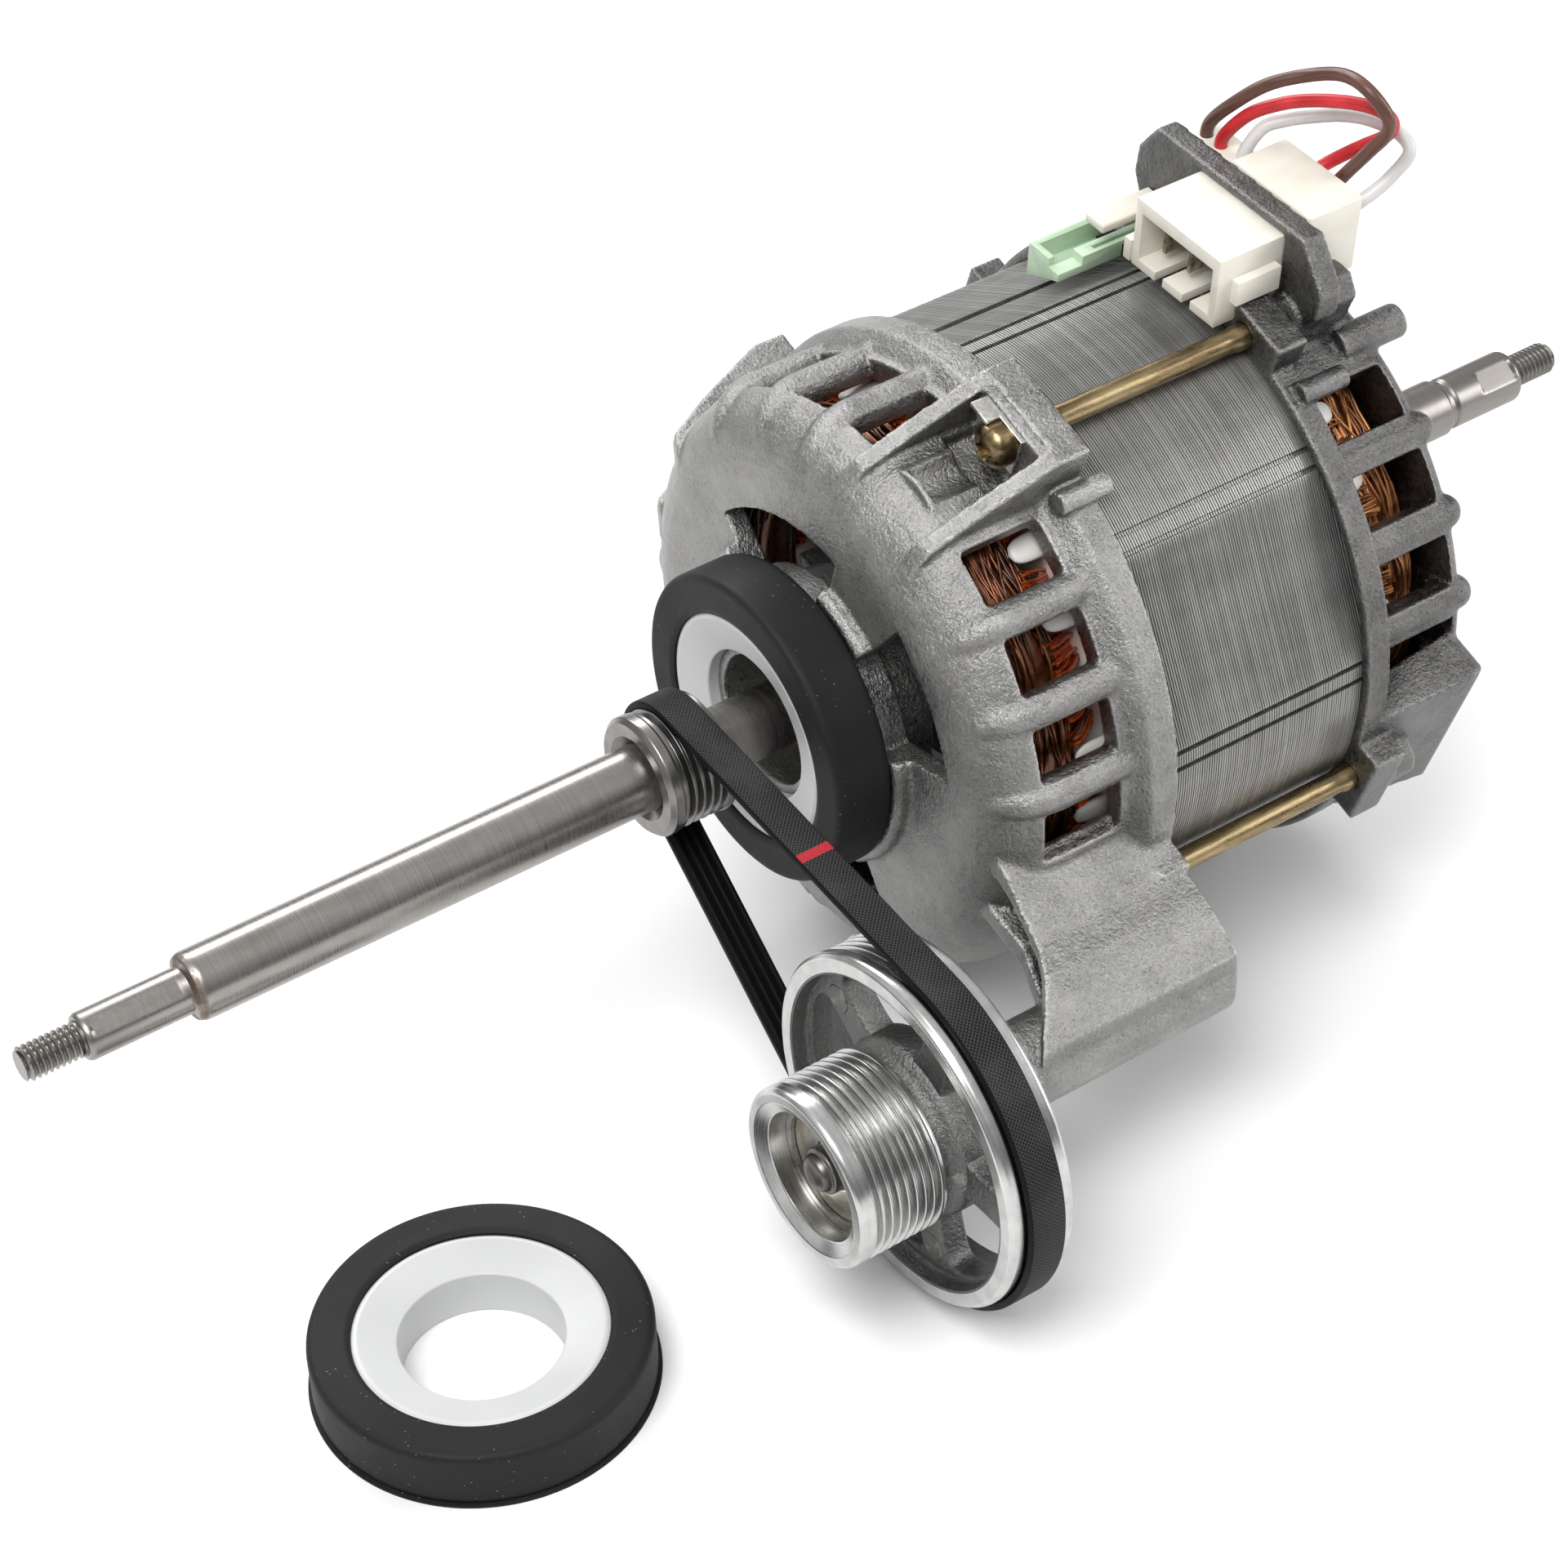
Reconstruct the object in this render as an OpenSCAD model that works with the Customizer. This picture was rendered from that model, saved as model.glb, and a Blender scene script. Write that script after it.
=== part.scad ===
/* [Shaft] */
// Radius of the motor shaft
shaft_r = 5.75; // [4:0.05:7]
// Radius of the studs at both ends of the shaft
stud_r = 2.95; // [2:0.05:3.5]
// Length of each stud
stud_len = 10; // [8:0.5:12]
// Radius of the stepped-down front end of the shaft
nose_r = 3.95; // [3.6:0.05:4.5]
// Length of the stepped-down front end
nose_len = 17; // [12:0.5:22]
// Reach of the shaft in front of the front ring's middle plane
shaft_front = 137; // [120:1:150]
// Radius of the rear end that takes a spanner
flat_r = 4.8; // [4:0.05:5.5]
// Length of the rear end that takes a spanner
flat_len = 15.5; // [12:0.5:18]
// Reach of the shaft behind the front ring's middle plane
shaft_rear = 174; // [160:1:185]

/* [Stator and rotor] */
// Outer radius of the lamination stack
stack_r = 52.8; // [51:0.1:53.5]
// Distance of the four flats of the stack from its axis
stack_flat = 50.2; // [49.5:0.1:51]
// Front end of the stack
stack_x0 = 37.5; // [37:0.1:38.5]
// Length of the stack
stack_len = 48.5; // [44:0.5:52]
// Radius of the stator bore
bore_r = 31.5; // [30:0.1:32]
// Air gap between stator and rotor
air_gap = 0.4; // [0.3:0.05:0.8]
// Number of slots in the stator
slots = 24; // [18:6:24]
// Width of a slot
slot_w = 5; // [4:0.1:5.4]
// Outer radius of the slots
slot_r = 44; // [43:0.1:44.5]

/* [Bells] */
// Outer radius of both bells
bell_r = 52; // [51:0.1:53]
// Wall of both bells
bell_wall = 4; // [3:0.1:4.6]
// Wall of the bell flanges over the stack
flange_wall = 2.2; // [1.5:0.1:3]
// Length of a flange over the stack
lap = 4; // [3:0.1:5]
// Width of the ribs between the air windows
rib_w = 6; // [5:0.1:6.6]
// Angle between neighbouring ribs
rib_pitch = 17; // [16.5:0.1:17.5]
// Angle of the first rib after the upper corner
rib_first = 138.5; // [137:0.1:140]
// Length of the front bell from its face to the stack side of its flange
front_len = 33.5; // [31:0.1:36]
// Length of the rear bell from its flange to its face
rear_len = 25; // [22:0.1:28]
// Rounding of the front bell's shoulder
front_round = 12.5; // [8:0.1:14]
// Rounding of the rear bell's shoulder
rear_round = 5; // [3.5:0.1:7]
// Angle of the upper corner, the others follow at quarter turns
corner = 111; // [105:1:117]
// Half width of a corner lug
lug_half = 10.5; // [8:0.1:11.5]
// Height of a corner lug over its tie rod's middle
lug_rise = 5.3; // [4.6:0.1:6.5]
// Height of the rear bell's corner pad over the stack
pad_rise = 3.7; // [3:0.1:4.2]
// Reach of the pad towards the windows
pad_up = 18; // [15:0.5:19]
// Reach of the pad the other way
pad_down = 13; // [11:0.5:14]
// Radius of the bearing seats
seat_r = 16; // [15:0.1:17]
// Width of the motor bearings
bearing_w = 10; // [8:0.1:11]

/* [Tie rods] */
// Radius of a tie rod
rod_r = 2; // [1.6:0.05:2.2]
// Gap between a tie rod and the stack
rod_gap = 0.4; // [0.2:0.05:0.8]
// Radius of a tie rod's head
head_r = 3.8; // [3:0.1:4.2]
// Height of a tie rod's head
head_h = 4; // [3:0.1:4.5]

/* [Damping rings] */
// Outer radius of a rubber ring
ring_r = 27.35; // [26:0.05:29]
// Width of a rubber ring
ring_w = 10.3; // [8:0.1:11]
// Outer radius of the plastic insert
insert_r = 20.4; // [18:0.1:23]
// Radius of the insert's bore
insert_bore = 13.2; // [12.4:0.05:14]
// Play between the insert and the hub it sits on
ring_play = 0.05; // [0.02:0.01:0.1]

/* [Belt drive] */
// Distance between motor axis and countershaft axis
centre = 72.2; // [70:0.1:75]
// Direction from the motor axis to the countershaft axis
centre_dir = 204.4; // [203:0.1:206]
// Radius of the rim of the large pulley
rim_r = 30.5; // [29:0.1:31.5]
// Radius of the flange of the small pulley
pinion_r = 10.5; // [10.2:0.05:11.5]
// Groove ridge radius of the small pulley
pinion_tip = 10.3; // [10:0.05:10.45]
// Pitch of the belt ribs and pulley grooves
pitch = 1.6; // [1.5:0.05:1.7]
// Middle plane of the belt
belt_x = -18; // [-19:0.1:-17.5]
// Number of ribs on the belt
belt_ribs = 4; // [3:1:4]
// Thickness of the belt's back
belt_back = 1.5; // [1.2:0.05:1.8]
// Height of the belt's ribs
belt_rib = 0.6; // [0.4:0.05:0.7]
// Play between the belt and both pulleys
belt_play = 0.3; // [0.25:0.05:0.4]
// Radius of the drum's grooved part
drum_r = 15.35; // [14.5:0.05:16.5]
// Front face of the drum
drum_x0 = -41; // [-43:0.1:-40.5]
// Number of grooves in the drum
drum_grooves = 8; // [6:1:8]
// Radius of the axle
axle_r = 4; // [3.5:0.05:4.5]
// Radius of the seats of the pulley's bearings
small_seat = 11; // [10.5:0.05:11.5]
// Width of the pulley's bearings
small_w = 7; // [6:0.1:8]
// Play of the bearings on the axle and on the shaft
run_play = 0.05; // [0.03:0.01:0.09]
// Radius of the boss that holds the axle
boss_r = 7.4; // [7:0.1:8.5]

/* [Connector] */
// Direction in which the connector stands out
plug_dir = 96; // [94:0.5:98]
// Height of the socket's roof over the stack
socket_rise = 15; // [14.2:0.1:16.2]
// Height of the socket
socket_h = 13; // [12:0.1:14]
// Width of the socket
socket_w = 21; // [20:0.1:22]
// Front face of the socket
socket_x0 = 78; // [77:0.1:80]
// Wall of the socket
socket_wall = 1.6; // [1.2:0.1:2]
// Thickness of the connector plate
plate_t = 4.4; // [3.6:0.1:5]
// Height of the plate over the stack
plate_rise = 16.8; // [16.2:0.1:18.2]
// Height of the rear block over the stack
block_rise = 17.2; // [16.2:0.1:18.2]
// Length of the rear block
block_len = 11.6; // [10:0.1:13]
// Radius of the leads
lead_r = 1.15; // [0.9:0.05:1.3]

/* [Windings] */
// Radius of a strand bundle in the end windings
bundle_r = 1.4; // [1.1:0.05:1.4]
// Distance between neighbouring bundles
bundle_pitch = 3.7; // [3.6:0.05:3.8]
// Layers in an end winding
layers = 4; // [3:1:4]
// Turns in a layer
layer_turns = 2; // [1.5:0.5:2]

/* [Hidden] */
eps = 0.01;
fit = 0.02;
corners = [for (k = [0 : 3]) corner + 90 * k];
foot_corner = corner + 180;
// Middle plane of the front ring is the frame's x = 0 plane
flange_r = stack_r + flange_wall;
rod_at = stack_r + rod_gap + rod_r;
lug_top = rod_at + lug_rise;
bell_in = bell_r - bell_wall;
// The connector stands on the stack or on the bell, whichever is larger
bell_step = 0.8;
base_h = max(stack_r, bell_r + bell_step);
socket_top = base_h + socket_rise;
plate_top = base_h + plate_rise;
block_top = base_h + block_rise;
ring_x0 = 5 - ring_w;
ring_x1 = 5;
seat_x = ring_x1 + 0.3;
face_x = 8;
front_end = face_x + front_len;
front_lap = stack_x0;
stack_x1 = stack_x0 + stack_len;
rear_flange = stack_x1 - lap;
rear_face = rear_flange + rear_len;
hub_r = insert_bore - ring_play;
hub_in = hub_r - 1.6;
hub_disc = ring_r + 1.2;
front_nose = ring_x0 + 4.3;
nose_reach = seat_x - front_nose;
rear_seat = rear_face + 1.7;
hub_wall = 4;
vent_r0 = 23;
front_brg = face_x;
rear_brg = rear_face - 1 - bearing_w;
win_x0 = face_x + 9.5;
win_x1 = front_end - 9.2;
rear_win_x0 = rear_flange + 6;
rear_win_x1 = rear_face - 3.5;
// Countershaft
cy = centre * cos(centre_dir);
cz = centre * sin(centre_dir);
belt_out = rim_r + belt_back;
floor_z = cz - belt_out;
small_out = pinion_tip + belt_play + belt_back;
belt_w = belt_ribs * pitch + 0.2;
groove_d = 1.2;
ridge_tip = 0.4;
rim_x0 = belt_x - 6;
rim_x1 = belt_x + 6;
rim_wall = 3.3;
web_x0 = rim_x0 + 3;
web_x1 = web_x0 + 4.8;
hub_o = drum_r - 1.8;
hub_x1 = rim_x1 + 1;
drum_land = 2.5;
drum_x1 = drum_x0 + 2 * drum_land + drum_grooves * pitch - 0.9;
small_brg_1 = drum_x0 + 5.3;
small_brg_2 = hub_x1 - small_w - 0.8;
axle_x0 = drum_x0 + 1.3;
boss_x0 = -1.5;
boss_x1 = 40;
spokes = 5;
spoke_dir = 38;
spoke_w = 6.8;
// The two belt runs touch both pulleys square to this angle from the centre line
lean = 180 - acos((belt_out - small_out) / centre);
// Loose ring on the floor
loose_y = -43.3;
loose_x = -87.7;
// Height that brings the lower corner lugs down to the floor
front_foot = (-floor_z - lug_half * cos(foot_corner)) / -sin(foot_corner);
rear_lug_half = 8;
rear_foot = (-floor_z - rear_lug_half * cos(foot_corner)) / -sin(foot_corner);
lug_x0 = front_end - 6;
seat_at = lug_x0 - 1.66;
rear_lug_x1 = rear_flange + 6.5;
rod_x0 = lug_x0 - 2.5;
rod_x1 = rear_lug_x1 + 3;
clip_t = 0.8;
// Connector in its own turned frame: along the shaft, sideways, height
plate_x0 = rear_flange + 9;
plate_x1 = plate_x0 + plate_t;
socket_mid = 1;
socket_x1 = plate_x1;
block_x1 = plate_x1 + block_len;
block_w = 19.5;
block_mid = 2.8;
outlet_mid = -14.2;
outlet_w = 13;
outlet_top = base_h + 13.7;
blade_t = 0.8;
blade_step = 6.2;
sides = 8;
// Lead routes: along the shaft, sideways, height over the stack
brown_route = [[100, -18, 11.2], [100, -18, 16.2], [101, -13, 23.2], [104, -9, 27.7], [108, -4, 30.7],
  [109, 2, 33.7], [108.5, 8, 34.7], [110, 12, 31.2], [110.5, 12, 27.7], [109.5, 10, 23.7],
  [109, 7, 18.7], [108.5, 5, 15.2], [105, 4.5, 12.7]];
red_route = [[100, -14, 11.2], [100, -14.5, 15.2], [102, -11.5, 20.7], [105, -8, 23.7], [108, -4, 25.7],
  [111, 2, 27.7], [113, 7, 28.4], [114.1, 9.4, 27], [114.2, 8.7, 24.1], [113.1, 5.1, 20.4],
  [112, 2.5, 17.7], [109.5, 0, 14.7], [105, -1, 12.2]];
white_route = [[101, -9.8, 11.2], [101, -10, 14.7], [104, -9.5, 18.7], [107, -7.5, 20.2], [110, -5, 21.2],
  [113, -1, 22.7], [115, 3.5, 23.7], [117, 8.5, 23.2], [117, 11.5, 21.2], [114, 11, 17.2],
  [111.5, 10.5, 15.2], [109, 10, 13.7], [105, 9.5, 11.7]];

module turn(a) rotate([a, 0, 0]) children();
module lathe(pts, n = 96) rotate([0, 90, 0]) rotate_extrude($fn = n) polygon(pts);
module bar(r, x0, x1, n = 48) translate([x0, 0, 0]) rotate([0, 90, 0]) cylinder(r = r, h = x1 - x0, $fn = n);
module slab(pts, x0, x1) translate([x0, 0, 0]) rotate([90, 0, 90]) linear_extrude(x1 - x0) polygon(pts);
module box_at(a, r0, r1, w, x0, x1, off = 0) turn(a) translate([x0, r0, off - w / 2]) cube([x1 - x0, r1 - r0, w]);
module at_counter() translate([0, cy, cz]) children();
function arc(c, r, a0, a1, n) = [for (k = [0 : n]) [c[0] + r * cos(a0 + (a1 - a0) * k / n), c[1] + r * sin(a0 + (a1 - a0) * k / n)]];
module sector(a0, a1, r0, r1, x0, x1)
  slab(concat(arc([0, 0], r0, a0, a1, 8), arc([0, 0], r1, a1, a0, 8)), x0, x1);

// V grooves of a pulley as points of radius and x, from x0 on
function grooves(x0, n, tip) = [for (k = [0 : n - 1]) for (p = [
    [tip, x0 + k * pitch + ridge_tip / 2],
    [tip - groove_d, x0 + (k + 0.5) * pitch - 0.1],
    [tip - groove_d, x0 + (k + 0.5) * pitch + 0.1],
    [tip, x0 + (k + 1) * pitch - ridge_tip / 2]]) p];

module shaft() color("silver") difference() {
  lathe([[0, -shaft_front], [stud_r - 0.6, -shaft_front], [stud_r, -shaft_front + 0.7],
    [stud_r, -shaft_front + stud_len], [nose_r, -shaft_front + stud_len + 1],
    [nose_r, -shaft_front + stud_len + 1 + nose_len], [shaft_r, -shaft_front + stud_len + nose_len + 3],
    [shaft_r, rear_seat + nose_reach + 8], [shaft_r - 0.5, rear_seat + nose_reach + 8.5],
    [shaft_r - 0.5, shaft_rear - stud_len - flat_len - 1.5], [flat_r - 0.4, shaft_rear - stud_len - flat_len - 1.2],
    [flat_r - 0.4, shaft_rear - stud_len - flat_len], [flat_r, shaft_rear - stud_len - flat_len + 0.3],
    [flat_r, shaft_rear - stud_len - 0.5], [flat_r - 0.5, shaft_rear - stud_len],
    [stud_r, shaft_rear - stud_len], [stud_r, shaft_rear - 0.7], [stud_r - 0.6, shaft_rear],
    [0, shaft_rear]]);
  for (a = [128, 308]) {
    box_at(a, nose_r - 0.35, nose_r + 1, 2 * nose_r, -shaft_front + stud_len + 1.5, -shaft_front + stud_len + nose_len - 0.5);
    box_at(a, flat_r - 0.6, flat_r + 1, 2 * flat_r, shaft_rear - stud_len - flat_len * 0.6, shaft_rear - stud_len - 1.2);
  }
}

core_r = bore_r - air_gap;
module rotor_core() color("dimgray") difference() {
  bar(core_r, stack_x0 + 1, stack_x1 - 1, 96);
  bar(shaft_r + fit, stack_x0, stack_x1, 96);
}
module rotor_cage() color("lightgray") for (s = [0, 1]) {
  x0 = s == 0 ? stack_x0 - 5.5 : stack_x1 - 1;
  x1 = x0 + 6.5;
  fin_x = s == 0 ? x0 - 6 : x1 - eps;
  difference() {
    bar(core_r - 1.5, x0, x1, 96);
    bar(core_r - 10, x0 - 1, x1 + 1, 96);
  }
  for (k = [0 : 7]) box_at(45 * k + 10, core_r - 9, core_r - 3, 2, fin_x, fin_x + 6 + eps);
}

pinion_x0 = rim_x0 - 2;
pinion_x1 = belt_x + belt_w / 2 + 1.2;
pinion_n = belt_ribs + 1;
pinion_g0 = belt_x - (belt_ribs / 2 + 1) * pitch;
module motor_pulley() color("gainsboro") difference() {
  lathe(concat([[shaft_r + fit, pinion_x0], [pinion_r - 0.9, pinion_x0], [pinion_r, pinion_x0 + 0.9],
    [pinion_r, pinion_g0 - 1.2]], grooves(pinion_g0, pinion_n, pinion_tip),
    [[pinion_tip, belt_x + belt_w / 2 + 0.2], [pinion_r, belt_x + belt_w / 2 + 0.4],
    [pinion_r, pinion_x1], [shaft_r + fit, pinion_x1]]));
  lathe([[0, pinion_x0 - 1], [shaft_r + 1.65, pinion_x0 - 1], [shaft_r, pinion_x0 + 0.65], [0, pinion_x0 + 0.65]]);
}

// Coils fill the outer part of the slots' depth
coil_share = 0.56;
coil_in = slot_r - slot_w / 2 - coil_share * (slot_r - bore_r);
coil_out = 6;
// Weld seams lie in pairs beside the flats
seam_w = 0.8;
flat_span = 20.75;
module stator_stack() color("slategray") difference() {
  bar(stack_r, stack_x0, stack_x1, 144);
  bar(bore_r, stack_x0 - 1, stack_x1 + 1, 96);
  for (c = corners) {
    box_at(c + 45, stack_flat, stack_r + 2, 60, stack_x0 - 1, stack_x1 + 1);
    for (s = [-1, 1]) for (d = [-1.75, 1.75])
      box_at(c + 45 + s * flat_span + d, stack_r - 0.9, stack_r + 1, seam_w, stack_x0 - 1, stack_x1 + 1);
  }
  box_at(corner - 41, stack_flat - 2.2, stack_r + 2, 2.6, stack_x0 - 1, stack_x1 + 1);
  for (k = [0 : slots - 1]) turn(k * 360 / slots) {
    box_at(0, coil_in - 1, slot_r - slot_w / 2, slot_w, stack_x0 - 1, stack_x1 + 1);
    translate([0, slot_r - slot_w / 2, 0]) bar(slot_w / 2, stack_x0 - 1, stack_x1 + 1);
    box_at(0, bore_r - 1, coil_in, 2, stack_x0 - 1, stack_x1 + 1);
  }
}

module slot_coils() color("orangered") for (k = [0 : slots - 1])
  box_at(k * 360 / slots, coil_in, slot_r - slot_w / 2, slot_w - 0.5, stack_x0 - coil_out, stack_x1 + coil_out);

// End rings of white plastic with a finger between neighbouring coils
finger_t = 2;
finger_w = 4.4;
liner_t = 2.6;
liner_gap = 0.8;
finger_r = bell_in - 3;
module insulation(x_in, way) {
  x0 = way > 0 ? x_in : x_in - liner_t;
  f0 = way > 0 ? x_in + liner_t - eps : x_in - liner_t - 5.2;
  difference() {
    bar(bell_in - liner_gap, x0, x0 + liner_t, 96);
    bar(bore_r + 1, x0 - 1, x0 + liner_t + 1, 96);
    for (k = [0 : slots - 1])
      box_at(k * 360 / slots, coil_in - 0.3, slot_r - slot_w / 2 + 0.3, slot_w, x0 - 1, x0 + liner_t + 1);
  }
  for (k = [0 : slots - 1]) turn((k + 0.5) * 360 / slots) {
    box_at(0, finger_r, finger_r + finger_t, finger_w, f0, f0 + 5.2 + eps);
    translate([way > 0 ? f0 + 5.2 : f0, finger_r, 0]) rotate([-90, 0, 0]) cylinder(r = finger_w / 2, h = finger_t, $fn = 32);
  }
}
module front_insulation() color("ivory") insulation(stack_x0, -1);
module rear_insulation() color("ivory") insulation(stack_x1, 1);

// End winding: one tube, wound to and fro in layers, climbing a layer in each half turn at an end
ring_n = 24;
span_turns = layer_turns + 0.5;
total_turns = layers * span_turns - 0.5;
wind_r0 = finger_r - 0.2 - bundle_r - (layers - 1) * bundle_pitch;
function wind_layer(u) = min(layers - 1, floor(u / span_turns));
function wind_t(u) = u - wind_layer(u) * span_turns;
function wind_climb(u) = max(0, wind_t(u) - layer_turns) * 2;
function wind_run(u) = min(wind_t(u), layer_turns) * bundle_pitch;
function wind_side(u) = wind_layer(u) % 2 == 0 ? wind_run(u) : layer_turns * bundle_pitch - wind_run(u);
function wind_rad(u) = wind_r0 + (wind_layer(u) + wind_climb(u)) * bundle_pitch;
function wind_pts(x0, way) = [for (k = [0 : round(total_turns * ring_n)])
  let (u = min(k / ring_n, total_turns)) [x0 + way * wind_side(u), wind_rad(u) * cos(360 * u), wind_rad(u) * sin(360 * u)]];
function least_gap(p, skip) = min([for (i = [0 : len(p) - 1 - skip])
  min([for (j = [i + skip : min(len(p) - 1, i + skip + 3 * ring_n)]) norm(p[i] - p[j])])]);
front_wind_x = stack_x0 - coil_out - bundle_r - 0.5;
rear_wind_x = stack_x1 + coil_out + bundle_r + 0.5;
front_turns = wind_pts(front_wind_x, -1);
rear_turns = wind_pts(rear_wind_x, 1);
echo("least gap in the front winding, mm", least_gap(front_turns, 12) - 2 * bundle_r);
echo("least gap in the rear winding, mm", least_gap(rear_turns, 12) - 2 * bundle_r);

// A tube of n sides swept along points
function unit(v) = v / norm(v);
function dir_at(p, i) = unit(p[min(i + 1, len(p) - 1)] - p[max(i - 1, 0)]);
function side_at(p, i, up) = unit(cross(dir_at(p, i), up(p[i])));
module tube_along(p, r, n, up) {
  rings = [for (i = [0 : len(p) - 1])
    let (d = dir_at(p, i), s = side_at(p, i, up), t = cross(s, d))
    for (k = [0 : n - 1]) p[i] + r * (cos(360 * k / n) * s + sin(360 * k / n) * t)];
  last = (len(p) - 1) * n;
  faces = concat(
    [for (i = [0 : len(p) - 2]) for (k = [0 : n - 1]) for (f = [
      [i * n + k, i * n + (k + 1) % n, (i + 1) * n + k],
      [i * n + (k + 1) % n, (i + 1) * n + (k + 1) % n, (i + 1) * n + k]]) f],
    [for (k = [1 : n - 2]) [0, k + 1, k]],
    [for (k = [1 : n - 2]) [last, last + k, last + k + 1]]);
  polyhedron(rings, faces);
}
module front_winding() color("saddlebrown") tube_along(front_turns, bundle_r, 6, function(q) [1, 0, 0]);
module rear_winding() color("peru") tube_along(rear_turns, bundle_r, 6, function(q) [1, 0, 0]);

// Gusset between a bell's face and a corner lug, in x and height
gusset_t = 3;
module gusset(a, off, pts) turn(a) translate([0, 0, off - gusset_t / 2]) linear_extrude(gusset_t) polygon(pts);
gusset_pts = [[face_x + 0.6, 29], [face_x + 1, 37], [face_x + 1.6, 45], [face_x + 4.5, 50.5],
  [face_x + 12.5, 54.5], [face_x + 21, 58], [lug_x0, lug_top], [front_end, lug_top], [front_end, 54],
  [lug_x0, 49], [face_x + 20, 49], [face_x + 5, 40], [face_x + 5, 29]];
// A rib of the front bell: a straight bar and a bend that sinks into the rounded shoulder
rib_proud = 1.2;
rib_sink = 3;
rib_bend_x = face_x + front_round - 0.7;
module rib(a, x1) turn(a) {
  translate([0, bell_r + rib_proud - rib_w / 2, 0]) bar(rib_w / 2, rib_bend_x, x1, 32);
  translate([rib_bend_x, bell_r - front_round + rib_sink, 0]) rotate([0, 0, 90]) rotate_extrude(angle = 72, $fn = 64)
    translate([front_round + rib_proud - rib_w / 2 - rib_sink, 0]) circle(r = rib_w / 2, $fn = 32);
}
function clear_of_corner(a, d) = min([for (c = corners) for (w = [-360, 0, 360]) abs(a - c + w)]) > d;

// Arm that carries the countershaft: sheet above, wall below, pocket between, boss at its end
arm_outline = [[-44, -2], [-50, -6], [-54, -10.8], [-58.5, -14.3], [-63.5, -16.4], [-67.5, -19],
  [-72.2, -22.7], [-72.2, -29.8], [-60, -30], [-57.5, -26.5], [-53, -21.5], [-44.3, -18.7], [-35, -18.8],
  [-26, -17.3], [-20, -14], [-19, 2], [-29, 0]];
arm_pocket = [[-22, -1.5], [-29, -3.5], [-40, -5.6], [-46, -7.4], [-50.5, -10], [-54, -13.4],
  [-58.2, -17], [-61.5, -18.7], [-62, -22], [-59.5, -24.2], [-54, -17.8], [-44.5, -15.2],
  [-35, -15.4], [-27.5, -13.8], [-22, -11]];
arm_plan = [[13, 6], [13, -36], [10.5, -44], [10.5, -55], [10, -59], [8, -63], [5, -67], [2.4, -70],
  [-1.5, -75], [front_end, -75], [front_end, 6]];
module arm() {
  difference() {
    intersection() {
      slab(arm_outline, boss_x0, front_end - 0.8);
      translate([0, 0, -40]) linear_extrude(60) polygon(arm_plan);
    }
    slab(arm_pocket, boss_x0 - 1, face_x + 18);
    bar(bell_r - bell_wall + 0.6, face_x + hub_wall - 0.5, front_end + 1, 96);
  }
}
hub_profile_front = concat([[hub_in, front_nose], [hub_r, front_nose], [hub_r, seat_x], [hub_disc - 0.9, seat_x],
  [hub_disc, seat_x + 0.9], [hub_disc, face_x]],
  [for (p = arc([bell_r - front_round, face_x + front_round], front_round, -90, 0, 8)) p],
  [[bell_r, win_x1 + 1.2], [bell_r + 1.4, win_x1 + 2.4], [flange_r, win_x1 + 4], [flange_r, front_end],
  [bell_r - bell_wall, front_end]],
  [for (p = arc([bell_r - front_round, face_x + front_round], front_round - bell_wall, 0, -90, 8)) p],
  [[seat_r + hub_wall, face_x + hub_wall], [seat_r + hub_wall, front_brg + bearing_w + 1],
  [seat_r + fit, front_brg + bearing_w + 1], [seat_r + fit, front_brg], [hub_in, front_brg]]);
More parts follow.
